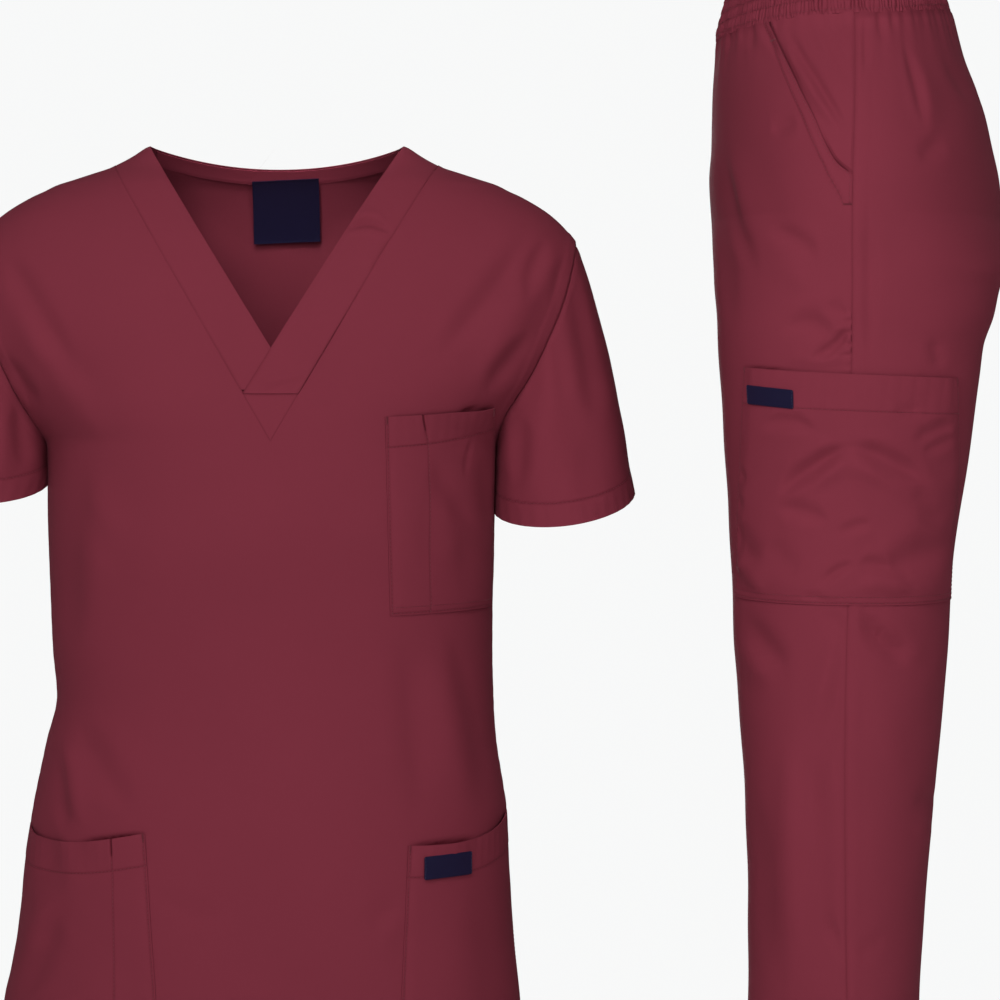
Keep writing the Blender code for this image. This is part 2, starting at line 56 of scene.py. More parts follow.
def table(names, *rows):
    """Named columns from rows, lowest first column first."""
    columns = np.array(sorted(rows), dtype=float).T
    return dict(zip(names.split(), columns))


# ---- The top's form: the same driving sizes as its solids ----

SHOULDER_TIP = -76.0
UNDERARM = -228.0
TOP_HEM = -715.0
SIDE_TIP = 231.0
NECK_HALF = 97.8
V_DEPTH = 158.6
BAND_TOP = 124.36
BAND_APEX = -228.5
BAND_END = -193.0
BACK_NECK_DROP = 14.6

OUTLINE = table(
    "z left right",
    (0, 97.8, 97.8), (-3.1, 103, 103), (-7.7, 110, 110), (-12.3, 118, 118), (-17, 128, 128),
    (-21.6, 142, 142), (-26.2, 156, 156), (-30.8, 170, 170), (-35.4, 179, 179), (-40, 189, 189),
    (-53, 210, 210), (-64.7, 222.5, 222.5), (-76, 231, 231), (-89, 237, 237),
    (-119, 240, 241), (-145, 236, 240), (-178, 214, 222), (-208, 184, 196),
    (-221, 173.6, 183), (-228, 170.6, 177.5), (-234, 169.4, 176.4), (-284, 167.1, 175.5),
    (-319, 166.6, 174.6), (-353, 165.5, 173.3), (-388, 165.5, 171.7), (-423, 166.3, 168.7),
    (-457, 167.8, 176.2), (-492, 171.6, 182), (-515, 174.5, 185.6), (-550, 176.2, 190.6),
    (-584, 178.3, 194.3), (-619, 181.1, 199), (-657, 185, 207), (-715, 189, 214),
)
ARMHOLE = table(
    "z left right",
    (-76, 231, 231), (-89, 229, 231), (-119, 222, 226), (-145, 212, 219), (-178, 196, 205),
    (-194, 185.5, 197), (-208, 176.5, 188.5), (-221, 171.9, 180.5), (-228, 170.6, 177.5),
)
DEPTH = table(
    "z front back power",
    (0, 30, 34, 2.6), (-8, 38, 46, 2.6), (-17, 45, 56, 2.6), (-30, 58, 68, 2.6),
    (-50, 72, 82, 2.6), (-76, 86, 95, 2.55), (-120, 100, 108, 2.5), (-160, 108, 113, 2.4),
    (-228, 116, 111, 2.3), (-284, 116, 107, 2.3), (-353, 108, 100, 2.3), (-423, 102, 98, 2.3),
    (-492, 106, 106, 2.3), (-550, 110, 114, 2.3), (-619, 114, 119, 2.3), (-715, 118, 122, 2.3),
)
SLEEVE_HEMS = {
    "left": {"x": 222.2, "z": -273.1, "half_width": 53.4, "rise": 0.12},
    "right": {"x": -235.0, "z": -257.0, "half_width": 57.0, "rise": 0.02},
}
SLEEVE_HALF_DEPTH = 60.0
SLEEVE_FRONT_DROP = 0.32
SLEEVE_CROWN = 16.5
SLEEVE_FRONT_FULL = 7.0
SLEEVE_HEM_DEPTH = 18.0
SLEEVE_LEAN = {"left": 2.4, "right": 3.2}

# Patch pockets: x of the inner and the outer edge, each at the top and at the bottom; the
# height of the mouth at its inner end, middle and outer end; and of the lower edge.
CHEST_POCKET = {
    "inner": (85.4, 89.1), "outer": (166.6, 163.3), "hem": 23.0,
    "opening": (-210.3, -206.5, -201.8), "base": (-359.7, -353.8),
}
LOWER_LEFT_POCKET = {
    "inner": (102.6, 95.5), "outer": (175.6, 188.6), "hem": 24.0,
    "opening": (-532.8, -527.8, -508.0), "base": (-690.0, -690.0),
}
LOWER_RIGHT_POCKET = {
    "inner": (-95.1, -83.0), "outer": (-187.6, -213.6), "hem": 24.0,
    "opening": (-523.2, -531.5, -518.5), "base": (-690.0, -690.0),
}
TAG_ON_TOP = {"x": (113.2, 147.6), "top": (-541.5, -538.6), "height": 17.4}
NECK_LABEL = {"x": (-22.0, 30.4), "top": (-21.2, -18.9), "height": 48.5}
NECK_TAPE_WIDTH = 11.0
BAND_LAP = 1.15             # how high the left neck band lies where it crosses the right one

# ---- The trousers' form ----

TROUSERS_X = 442.1
TROUSERS_TURN = 3.7
WAIST_SEAM = 90.8
WAIST_DIP = 10.8
BAND_HEIGHT = 32.0
HIP = -60.0
CROTCH = -150.0
TROUSER_HEM = -887.0
LEG_REACH = 92.0            # a leg's usual distance from its middle to the cloth

TROUSERS = table(
    "z half front back seam",
    (124, 126, 96.2, 69.3, -2.4), (112, 126, 97.2, 72.3, -2.4), (101, 126, 99.7, 76.3, -2.4),
    (84.7, 129, 103.3, 81.3, -2.4), (66, 141, 104.7, 86.9, -2.4), (43, 156, 106.4, 95.3, -2.4),
    (20, 167, 107.2, 103, -2.1), (-3, 174.5, 107.7, 108.3, -1.5), (-26, 178.5, 108.7, 113, -0.8),
    (-53, 180, 107.7, 116.1, 0), (-76, 179.5, 106, 118.6, 0), (-99, 178.5, 104.1, 118.5, 0),
    (-111, 177.8, 103.6, 112.4, 0), (-134, 175.6, 101.9, 107.1, 0), (-157, 173.4, 100.6, 98.9, 0),
    (-180, 172.5, 99.1, 95.9, 0.6), (-215, 171, 96.8, 91.5, 0.6), (-250, 169.3, 94.6, 86.9, 0.6),
    (-319, 166, 90.8, 76.3, 2), (-388, 163, 87.7, 71.9, 4.2), (-457, 161, 82.5, 65.9, 5.3),
    (-504, 159.6, 80.1, 61.4, 5.3), (-596, 157, 77.9, 53.9, 4.6), (-657, 155.5, 77.9, 50.9, 3.6),
    (-887, 151, 78.1, 49.9, 2),
)
LEG_GAP = table("z half", (-150, 0.4), (-215, 3), (-319, 7), (-457, 11), (-596, 15), (-887, 20))
SLANT = table(
    "z f",
    (86, 63.5), (71, 57.3), (49, 47.8), (27, 37.8), (9, 28.8), (-6, 22.4), (-17, 16.8), (-24, 12),
    (-29.5, 5.6), (-33, 0.15),
)
# Beside it: the outer row of stitches, and how much painted shade darkens the gap under its edge.
SLANT_STITCHING = table(
    "z f",
    (86, 68), (70, 62.5), (40, 51.2), (12, 39), (-7, 30.3), (-20, 24), (-34, 17), (-48, 9), (-53, 7),
)
SLANT_SHADE = table(
    "z dark",
    (86, 0), (71, 0.04), (54, 0.35), (46, 0.35), (30, 0.1), (10, 0), (-2, 0.08), (-15, 0.45), (-26, 0.45),
    (-33, 0.2),
)
SLANT_FOOT = -33.0          # the mouth's lower end; in the solids it runs on to the bar tack
FACING_BEHIND = 1.2
FACING_UNDER = 18.0
FACING_DEPTH = 2.9
FACING_FOOT = -72.0
CARGO = {                   # its front and back edges are in degrees from the side seam
    "front": (52.8, 73.5), "back": (-54.8, -84.0), "hem": 27.0,
    "opening": (-173.6, -179.8, -182.0), "base": (-345.0, -350.5, -347.0),
}
CARGO_TAG = {"angle": (49.6, 25.0), "top": (-186.8, -191.2), "height": 14.1}
TAG_RADIUS = 1.4            # of the two tags' corners
TAG_COLUMNS, TAG_ROWS = 40, 18

# ---- Creases, listed one by one: from one point to another, how far its middle bows,
# how wide it is, and how deep. A negative depth makes a ridge. ----

CREASE = "x0 z0 x1 z1 bow width depth"
TOP_FRONT_CREASES = table(
    CREASE,
    (198, -66, 122, -168, -4, 10, 3.4), (202, -96, 148, -190, -4, 12, -2.2),
    (172, -62, 104, -160, -4, 11, 0.8), (208, -72, 191, -124, 3, 6, 2.8),
    (198, -144, 160, -194, 2, 7, 2.4), (222, -84, 214, -136, 2, 5, 1.2),
    (119, -367, 145, -524, -5, 13, -2.0), (97, -364, 112, -522, -3, 11, 1.5),
    (134, -370, 160, -505, -4, 10, 1.7), (-142, -244, -157, -392, 4, 13, 2.3),
    (-125, -232, -140, -386, 4, 15, -1.5), (-160, -447, -141, -524, 4, 9, -2.4),
    (-150, -436, -104, -510, 3, 11, 2.3), (-162, -458, -158, -526, 0, 6, 1.9),
    (-200, -102, -120, -236, 4, 13, -2.2), (-206, -80, -148, -178, 2, 9, 3.2),
    (-178, -128, -128, -196, 3, 10, 1.4), (-206, -163, -176, -202, 3, 7, 3.0),
    (-90, -563, -24, -584, 9, 8, 0.9), (-146, -270, -110, -330, 3, 9, 0.9),
    (99, -570, 76, -600, 3, 8, 0.8), (99, -579, 84, -616, 3, 8, -0.9),
    (-172, -516, -176, -588, -7, 8, 2.2), (-164, -548, -194, -632, -3, 8, -2.0),
    (-162, -576, -192, -656, -3, 9, 2.0), (-98, -600, -108, -712, 5, 18, 1.5),
    (36, -612, 44, -712, 4, 22, 1.2), (152, -560, 166, -712, -5, 14, 1.8),
    (-40, -640, -36, -712, 0, 16, -1.2), (64, -252, 70, -300, 2, 14, 0.6),
)
TOP_BACK_CREASES = table(
    CREASE,
    (190, -72, 118, -190, -6, 13, 3), (-188, -74, -112, -184, 6, 13, 3.2),
    (208, -150, 168, -206, 3, 8, 4.5), (-210, -156, -172, -212, -3, 8, 4.2),
    (70, -46, 40, -118, 5, 12, 2), (-66, -48, -44, -126, -5, 13, 2.1),
    (150, -250, 120, -420, 8, 15, 3.9), (-146, -262, -126, -408, -8, 14, 3.6),
    (128, -236, 96, -390, 6, 15, -3), (-118, -250, -98, -396, -6, 15, -2.8),
    (60, -360, 74, -520, 6, 18, 3.2), (-48, -352, -70, -530, -6, 19, 3.4),
    (6, -380, 2, -560, 3, 17, 2.2), (30, -420, 40, -600, 4, 14, -2.4),
    (-26, -430, -32, -610, -4, 13, -2.1), (150, -440, 132, -560, 6, 10, 2.7),
    (-154, -448, -130, -566, -6, 10, 2.8), (110, -560, 120, -712, 5, 17, -3),
    (-96, -566, -112, -712, -5, 18, -3.2), (0, -600, -8, -712, 4, 18, 2.4),
    (70, -590, 66, -712, 0, 15, 2.4), (-66, -600, -60, -712, 3, 15, 2.1),
)
SLEEVE_CREASES = {
    "left": table(
        CREASE,
        (226, -106, 245, -218, -3, 9, 3.4), (206, -176, 199, -282, 2, 12, -2.1),
        (190, -206, 186, -262, 0, 7, 2.2), (234, -150, 262, -262, -4, 12, -1.7),
        (214, -150, 222, -200, 0, 7, 1.4), (236, -224, 240, -286, 0, 10, 1.3),
    ),
    "right": table(
        CREASE,
        (-226, -106, -243, -208, 3, 9, 3.1), (-212, -170, -208, -268, -2, 12, -2.2),
        (-196, -196, -190, -250, 0, 7, 2.5), (-240, -140, -268, -248, 4, 12, -1.8),
        (-256, -170, -262, -250, 0, 9, 1.5), (-228, -206, -226, -262, 0, 9, 1.1),
    ),
}
BAND_CREASES = table(
    CREASE,
    (54, -70, 90, -72, -8, 3.4, 3.0), (91, -72, 74, -104, -3, 4.0, 2.2),
    (-12, -189, 28, -180, 3, 3.2, 0.9), (30, -120, 44, -132, 2, 7, 0.5),
    (-92, -60, -66, -92, 3, 7, 0.7), (-62, -112, -46, -146, -2, 8, 0.6),
)
CHEST_POCKET_CREASES = table(
    CREASE,
    (150, -222, 143, -258, 1, 1.8, 0.7), (120, -236, 152, -296, 4, 8, 1.8),
    (140, -300, 150, -346, 2, 8, 0.8), (104, -232, 104, -330, 0, 9, -0.6),
    (128, -262, 140, -330, 2, 8, -0.9), (156, -236, 160, -300, 0, 5, 0.9),
)

# On a leg the first number is how far forward of the side seam the crease lies, as seen
# from that side.
LEG_CREASES = table(
    CREASE,
    (64, 86, 52, 56, 0, 3.6, 2.2), (88, 84, 92, 66, 0, 3.6, 1.8), (76, 88, 74, 64, 0, 4, 1.4),
    (95, -6, 66, -112, -7, 5, 2.6), (99, 8, 86, -150, -4, 7, 2.0), (88, 4, 56, -98, -6, 9, -1.6),
    (63, -70, 22, -97, 3, 6, 2.6), (62, -96, 30, -118, 2, 7, -1.2),
    (60, -1, 41, 11, 0, 6, 1.8), (55, -150, 10, -158, 12, 8, 3.0),
    (50, -172, 18, -170, 4, 6, -1.4), (32, -170, 0, -144, -3, 4, 3.6), (22, -128, 2, -136, 0, 5, 1.6),
    (-38, 72, -54, 0, 2, 3.4, 2.0), (-52, 55, -58, -8, 2, 8, -1.6), (-10, 98, -10, 40, 0, 2.4, 1.9),
    (-68, -2, -50, -24, 0, 7, 1.7), (-68, 60, -90, 24, 2, 5, 1.8),
    (-18, 98, -23, 70, 0, 2.8, 1.6), (-28, 96, -31, 76, 0, 2.8, 1.2),
    (-13, -50, -13, -177, 0, 4.5, 1.5), (-60, -150, -66, -178, 0, 5, 1.8),
    (81, -356, 44, -400, -4, 8, 2.8), (83, -372, 56, -412, -3, 8, -2.0),
    (-4, -354, -50, -394, -5, 6.5, 6.0), (-34, -390, -58, -380, 0, 6, -1.3), (24, -356, 2, -370, 0, 5, 1.6),
    (8, -362, 26, -446, -3, 7, -1.8), (4, -395, 32, -510, -4, 9, 2.0), (-9, -416, -40, -482, 3, 7, -0.9),
    (-44, -494, -66, -498, 0, 6, 2.2), (-46, -516, -60, -526, 0, 5, -1.4),
    (24, -578, 5, -606, 0, 4, 2.8), (-2, -608, -28, -597, 0, 4, 2.2), (12, -640, 2, -656, 0, 4, 1.6),
    (50, -438, 46, -655, 3, 10, -2.2), (34, -440, 22, -640, 3, 10, 1.8),
    (8, -650, 14, -720, 2, 6, -1.6), (-2, -660, -22, -690, 0, 6, 1.6), (76, -480, 64, -620, 3, 8, 1.4),
    (44, -700, 34, -812, 3, 9, -1.9), (10, -708, 16, -806, 0, 8, 1.6),
    (-20, -740, -30, -850, 2, 8, -1.6), (56, -836, 20, -868, 3, 8, 1.8),
)
INNER_LEG_CREASES = table(
    CREASE,
    (60, -150, 20, -210, 6, 8, 3.2), (30, -152, -20, -214, 6, 8, -2.6),
    (-10, -156, -50, -230, 4, 8, 3.0), (50, -250, 10, -300, 3, 9, 2.1),
    (-20, -300, -44, -360, 3, 9, 2.2), (40, -352, 0, -404, 4, 8, 2.9),
    (10, -380, -34, -420, 3, 8, -2.2), (20, -470, 24, -600, 3, 10, -2.1),
    (-10, -480, -14, -610, 3, 9, 2.0), (40, -620, 20, -660, 0, 6, 1.9),
    (0, -690, 6, -820, 2, 9, 1.8), (34, -720, 40, -850, 2, 9, -1.9),
)
CARGO_CREASES = table(
    CREASE,
    (56, -270, -2, -231, 3, 6, 4.8), (6, -231, -60, -264, 4, 7, 4.4), (36, -274, -34, -272, 26, 8, -2),
    (70, -219, 22, -224, 7, 5, 2.2), (56, -278, 15, -289, 2, 6, 2.4),
    (14, -300, -18, -289, 2, 4, 1.9), (24, -336, -4, -318, 2, 3.2, 2.3),
    (-2, -320, -30, -326, 3, 5, 2.2), (-22, -330, -70, -304, 2, 10, 2.8), (0, -338, -46, -342, 6, 7, -2.1),
    (-42, -230, -77, -213, 0, 5, 2.1), (-50, -238, -78, -224, 0, 4, 2.1), (-30, -206, -52, -204, 0, 5, 1.4),
    (38, -341, 6, -354, -1, 4, 2.4), (92, -223, 79, -232, 0, 3, 2),
    (91, -244, 76, -260, 0, 3.6, 2), (90, -286, 66, -322, -2, 8, 2.2),
    (86, -312, 62, -346, 0, 7, -1.7), (90, -268, 78, -280, 0, 4, 1.7), (88, -322, 72, -348, 0, 7, 1.6),
    (62, -300, 40, -330, 0, 9, 1.8), (-46, -258, -64, -296, 0, 8, 1.4),
)
FACING_CREASES = table(
    CREASE,
    (50, 84, 2, -2, -2, 3.6, 2.8), (36, 84, 0, 14, -2, 5, 1.6), (22, 88, 0, 32, -1, 4, 1.6),
    (43, 62, 8, -2, -2, 4, -1.4), (30, 70, 2, 18, -2, 4, -1.2), (12, 98, 10, 72, 0, 3, 1.2),
)


# ---- Numbers to surfaces, as in the solids ----

def smooth(section, column, at):
    """A table's column between its rows, as a cubic that never overshoots them."""
    known = next(iter(section.values()))
    value = section[column]
    gap = np.diff(known)
    slope = np.diff(value) / gap
    tangent = np.zeros_like(value)
    tangent[0] = slope[0]
    tangent[-1] = slope[-1]
    same_way = slope[:-1] * slope[1:] > 0
    product = np.where(same_way, 2 * slope[:-1] * slope[1:], 0.0)
    tangent[1:-1] = product / np.where(same_way, slope[:-1] + slope[1:], 1.0)
    at = np.clip(np.asarray(at, dtype=float), known[0], known[-1])
    i = np.clip(np.searchsorted(known, at) - 1, 0, len(gap) - 1)
    t = (at - known[i]) / gap[i]
    start = value[i] * (1 + 2 * t) * (1 - t) ** 2 + gap[i] * tangent[i] * t * (1 - t) ** 2
    end = value[i + 1] * t * t * (3 - 2 * t) - gap[i] * tangent[i + 1] * t * t * (1 - t)
    return start + end


def step(at, low, high):
    """0 below low, 1 above high, and an S-curve between them."""
    t = np.clip((np.asarray(at, dtype=float) - low) / (high - low), 0.0, 1.0)
    return t * t * (3 - 2 * t)


def between(ends, share):
    """The value this share of the way from the first of two ends to the second."""
    return ends[0] + (ends[1] - ends[0]) * share


def three_heights(values, fraction):
    """A parabola through an edge's inner, middle and outer values."""
    inner, middle, outer = values
    bend = 4 * middle - 2 * inner - 2 * outer
    return inner + (outer - inner) * fraction + bend * fraction * (1 - fraction)


def spread(count, *lines, closer=5.0, within=0.02):
    """Shares from 0 to 1, several times closer together beside each of the lines."""
    fine = np.linspace(0, 1, 4001)
    crowd = np.ones_like(fine)
    for line in lines:
        crowd += closer * np.exp(-((fine - line) / within) ** 2)
    run = np.concatenate([[0], np.cumsum((crowd[1:] + crowd[:-1]) / 2)])
    return np.interp(np.linspace(0, run[-1], count), run, fine)


def unit(vectors):
    return vectors / np.linalg.norm(vectors, axis=-1, keepdims=True)


def outward(level, points, nudge_by=0.02):
    """Unit normals: the slope of a level function that grows outwards."""
    slope = np.empty_like(points)
    for axis in range(3):
        nudge = np.zeros(3)
        nudge[axis] = nudge_by
        slope[..., axis] = level(points + nudge) - level(points - nudge)
    return unit(slope)


def by_side(section, x, z):
    """The table's left value where x is positive, its right one elsewhere."""
    return np.where(x >= 0, smooth(section, "left", z), smooth(section, "right", z))


def torso_level(points):
    """Superellipse slices: |x / width| ^ power + (y / depth) ^ 2 - 1."""
    x, y, z = points[..., 0], points[..., 1], points[..., 2]
    depth = np.where(y < 0, smooth(DEPTH, "front", z), smooth(DEPTH, "back", z))
    power = smooth(DEPTH, "power", z)
    return np.abs(x / by_side(OUTLINE, x, z)) ** power + (y / depth) ** 2 - 1


def on_torso(x, z, face, lift=0.0):
    """Points at x and z on the torso's front or back, moved out by lift, and normals."""
    x, z = np.broadcast_arrays(np.asarray(x, dtype=float), np.asarray(z, dtype=float))
    depth = smooth(DEPTH, face, z)
    inside = 1 - np.abs(x / by_side(OUTLINE, x, z)) ** smooth(DEPTH, "power", z)
    reach = np.maximum(depth * np.sqrt(np.maximum(inside, 0.0)), TOUCH)
    points = np.stack([x, reach if face == "back" else -reach, z], axis=-1)
    normals = outward(torso_level, points)
    return points + normals * np.asarray(lift)[..., None], normals


def leg_ring(z):
    """A leg's ellipse at height z: its centre's distance to the side, and half-width."""
    parted = np.clip((HIP - z) / (HIP - CROTCH), 0.0, 1.0)
    gap = np.where(z < CROTCH, smooth(LEG_GAP, "half", z), LEG_GAP["half"][-1] * parted)
    half = smooth(TROUSERS, "half", z)
    width = (half - gap) / (1 + parted)
    return half - width, width


def trouser_level(points):
    """Ellipse slices of the leg on the point's own side of the middle."""
    forward, side, z = points[..., 0], np.abs(points[..., 1]), points[..., 2]
    centre, width = leg_ring(z)
    across = (side - centre) / width
    forward = forward - smooth(TROUSERS, "seam", z) * across ** 2
    reach = np.where(forward > 0, smooth(TROUSERS, "front", z), smooth(TROUSERS, "back", z))
    return (forward / reach) ** 2 + across ** 2 - 1


def in_room(vectors):
    """Forward, left and up of the trousers turned into X, Y and Z."""
    turn = np.radians(TROUSERS_TURN)
    forward, left, up = vectors[..., 0], vectors[..., 1], vectors[..., 2]
    x = -forward * np.cos(turn) - left * np.sin(turn)
    y = forward * np.sin(turn) - left * np.cos(turn)
    return np.stack([x, y, up], axis=-1)


def forward_of(angle, z):
    """How far forward a point at this angle from the side seam lies."""
    reach = np.where(angle > 0, smooth(TROUSERS, "front", z), smooth(TROUSERS, "back", z))
    return reach * np.sin(angle) + smooth(TROUSERS, "seam", z) * np.cos(angle) ** 2


def on_trousers(angle, z, leg, lift=0.0):
    """Points at an angle from the side seam, forwards positive, and their normals."""
    angle, z = np.broadcast_arrays(np.asarray(angle, dtype=float), np.asarray(z, dtype=float))
    centre, width = leg_ring(z)
    side = np.maximum(centre + width * np.cos(angle), TOUCH)
    sideways = side if leg == "left" else -side
    points = np.stack([forward_of(angle, z), sideways, z], axis=-1)
    normals = outward(trouser_level, points)
    place = np.array([TROUSERS_X, 0.0, 0.0])
    return place + in_room(points + normals * np.asarray(lift)[..., None]), in_room(normals)


# ---- Creases and swells ----

def creased(rows, across, up):
    """How far a table of creases lifts the cloth at (across, up).

    A crease's line is a parabola through its two ends. Across it the cloth dips as a
    Gaussian, with a lip a quarter as high on each side, and along it the dip fades and
    narrows over the last third towards each end.
    """
    lift = np.zeros(np.broadcast(across, up).shape)
    for x0, z0, x1, z1, bow, width, depth in zip(*rows.values()):
        run_x, run_z = x1 - x0, z1 - z0
        length = np.hypot(run_x, run_z)
        along = ((across - x0) * run_x + (up - z0) * run_z) / length ** 2
        aside = ((across - x0) * run_z - (up - z0) * run_x) / length - 4 * bow * along * (1 - along)
        fade = step(along, 0, 0.35) * step(1 - along, 0, 0.35)
        reach = width * (0.5 + 0.5 * fade)
        lips = np.exp(-(aside / reach - 1.9) ** 2) + np.exp(-(aside / reach + 1.9) ** 2)
        lift -= depth * fade * (np.exp(-(aside / reach) ** 2) - 0.25 * lips)
    return lift


def swell(across, up, size, start):
    """A slow unevenness between about -1 and 1: four crossed sine waves."""
    total = 0.0
    for turn, stretch in ((0.3, 1.0), (1.4, 0.73), (2.5, 1.31), (0.9, 0.57)):
        along = across * np.cos(turn) + up * np.sin(turn)
        wander = 0.8 * np.sin(up / (1.7 * size) + start * turn)
        total = total + np.sin(2 * np.pi * along / (size * stretch) + start * (1 + turn) + wander)
    return total / 3


def gathers(arc, pitch, start):
    """Folds side by side, about one pitch apart, with round crests and sharp dips: -1 to 1."""
    wander = 1.3 * np.sin(arc / (6.1 * pitch) + start) + 0.9 * np.sin(arc / (2.3 * pitch) + 2 * start)
    return 2 * np.abs(np.sin(np.pi * arc / pitch + wander)) ** 0.8 - 1


# ---- Cloth ----

class Cloth:
    """A grid of points down and across, the way out at each, and the cloth's rise there.

    Its painted shade goes from 0 to 1: a darker colour painted where a seam, stitch line or pocket mouth
    catches little light.
    """

    def __init__(self, name, skin, ring=False):
        self.name = name
        self.base, self.out = skin
        self.ring = ring
        self.rise = np.zeros(self.base.shape[:2])
        self.painted_shade = np.zeros(self.base.shape[:2])
        self.grain = None           # distance across from the straight grain, if not the middle

    def points(self):
        return self.base + self.out * self.rise[..., None]

    def in_from(self, edge):
        """Distance over the cloth from its left, right, top or bottom edge."""
        axis = 1 if edge in ("left", "right") else 0
        steps = np.linalg.norm(np.diff(self.base, axis=axis), axis=-1)
        run = np.insert(np.cumsum(steps, axis=axis), 0, 0.0, axis=axis)
        if edge in ("right", "bottom"):
            run = np.take(run, [-1], axis=axis) - run
        return run

    def near(self, *edges):
        """Distance over the cloth from the nearest of these edges."""
        return np.minimum.reduce([self.in_from(edge) for edge in edges])

    def groove(self, distance, width, depth, shade):
        """A narrow dip along the line where distance is 0, with painted shade in it."""
        near = np.exp(-(distance / width) ** 2)
        self.rise -= depth * near
        self.painted_shade = np.maximum(self.painted_shade, shade * near)

    def line(self, edge, away, start=0.0, stop=1.0):
        """Points, and the way out, along a line this far in from an edge.

        away is one distance, or one for each row. start and stop are shares of the line.
        """
        run, points, out = self.in_from(edge), self.points(), self.out
        if edge in ("top", "bottom"):
            run, points, out = run.T, points.swapaxes(0, 1), out.swapaxes(0, 1)
        if edge in ("right", "bottom"):
            run, points, out = run[:, ::-1], points[:, ::-1], out[:, ::-1]
        row = np.arange(len(run))
        away = np.broadcast_to(away, row.shape)
        before = np.clip((run < away[:, None]).sum(axis=1) - 1, 0, run.shape[1] - 2)
        part = (away - run[row, before]) / (run[row, before + 1] - run[row, before])
        part = np.clip(part, 0, 1)[:, None]
        path = points[row, before] * (1 - part) + points[row, before + 1] * part
        outs = out[row, before] * (1 - part) + out[row, before + 1] * part
        if self.ring and edge in ("top", "bottom"):
            path = np.concatenate([path, path[:1]])
            outs = np.concatenate([outs, outs[:1]])
        first, last = int(start * (len(path) - 1)), int(np.ceil(stop * (len(path) - 1)))
        return path[first:last + 1], outs[first:last + 1]

    def across(self, share, reach):
        """Points, and the way out, from the left edge this far in, at this share of the rows."""
        row = int(round(share * (self.base.shape[0] - 1)))
        last = max(int(np.sum(self.in_from("left")[row] < reach)), 2)
        return self.points()[row, :last], self.out[row, :last]


def sew_up(cloth, wall, finish):
    """The closed wall of a Cloth as an object: its outer skin, its inner one and the rim."""
    rows, columns = cloth.base.shape[:2]
    across = columns if cloth.ring else columns - 1
    first = (np.arange(rows - 1)[:, None] * columns + np.arange(across)).ravel()
    column = np.tile(np.arange(across), rows - 1)
    row = np.repeat(np.arange(rows - 1), across)
    second = row * columns + (column + 1) % columns
    quads = np.stack([first, second, second + columns, first + columns], axis=-1)
    outer = cloth.points().reshape(-1, 3)
    out = cloth.out.reshape(-1, 3)
    inner = outer - out * wall
    corners = outer[quads]
    facing = np.cross(corners[:, 1] - corners[:, 0], corners[:, 3] - corners[:, 0])
    weave = weave_map(cloth, row, column)
    if np.sum(facing * out[quads[:, 0]]) < 0:
        quads = quads[:, ::-1]
        weave = weave[:, ::-1]
    count = len(outer)
    edges = np.concatenate([quads[:, [k, (k + 1) % 4]] for k in range(4)])
    edge_weave = np.concatenate([weave[:, [k, (k + 1) % 4]] for k in range(4)])
    ordered = np.sort(edges, axis=1)
    _, where, uses = np.unique(ordered[:, 0] * count + ordered[:, 1], return_index=True, return_counts=True)
    free = edges[where[uses == 1]]
    rim_weave = edge_weave[where[uses == 1]]
    rim = np.stack([free[:, 1], free[:, 0], free[:, 0] + count, free[:, 1] + count], axis=-1)
    faces = np.concatenate([quads, quads[:, ::-1] + count, rim])
    maps = np.concatenate([weave, weave[:, ::-1], rim_weave[:, [1, 0, 0, 1]]])
    shade = np.tile(cloth.painted_shade.ravel(), 2)
    return mesh_object(cloth.name, np.concatenate([outer, inner]), faces, finish, maps, shade)


def weave_map(cloth, row, column):
    """For each quad's corners, the run of the cloth across and down, in centimetres."""
    across = cloth.in_from("left")
    if cloth.ring:
        last = np.linalg.norm(cloth.base[:, 0] - cloth.base[:, -1], axis=-1)
        across = np.concatenate([across, across[:, -1:] + last[:, None]], axis=1)
    elif cloth.grain is not None:
        across = cloth.grain
    else:
        across = across - across[:, across.shape[1] // 2][:, None]
    down = -cloth.in_from("bottom")
    around = (column + 1) % cloth.base.shape[1]
    u = np.stack([across[row, column], across[row, column + 1],
                  across[row + 1, column + 1], across[row + 1, column]], axis=-1)
    v = np.stack([down[row, column], down[row, around],
                  down[row + 1, around], down[row + 1, column]], axis=-1)
    return np.stack([u, v], axis=-1) / 10


def mesh_object(name, points, faces, finish, maps=None, shade=None):
    """A smooth-shaded object from points in millimetres and faces of one size."""
    mesh = bpy.data.meshes.new(name)
    size = faces.shape[1]
    mesh.vertices.add(len(points))
    mesh.vertices.foreach_set("co", (points * MM).astype(np.float32).ravel())
    mesh.loops.add(faces.size)
    mesh.loops.foreach_set("vertex_index", faces.astype(np.int32).ravel())
    mesh.polygons.add(len(faces))
    mesh.polygons.foreach_set("loop_start", np.arange(0, faces.size, size, dtype=np.int32))
    if maps is not None:
        layer = mesh.uv_layers.new(name="weave")
        layer.data.foreach_set("uv", maps.astype(np.float32).ravel())
    # Painted shade: how far each point's colour is darkened towards the weave's shade colour.
    if shade is not None:
        painted_shade = mesh.attributes.new("painted_shade", "FLOAT", "POINT")
        painted_shade.data.foreach_set("value", shade.astype(np.float32))
    mesh.update(calc_edges=True)
    mesh.validate()
    mesh.shade_smooth()
    mesh.set_sharp_from_angle(angle=np.radians(50))
    mesh.materials.append(finish)
    made = bpy.data.objects.new(name, mesh)
    bpy.context.collection.objects.link(made)
    return made


# ---- Thread ----

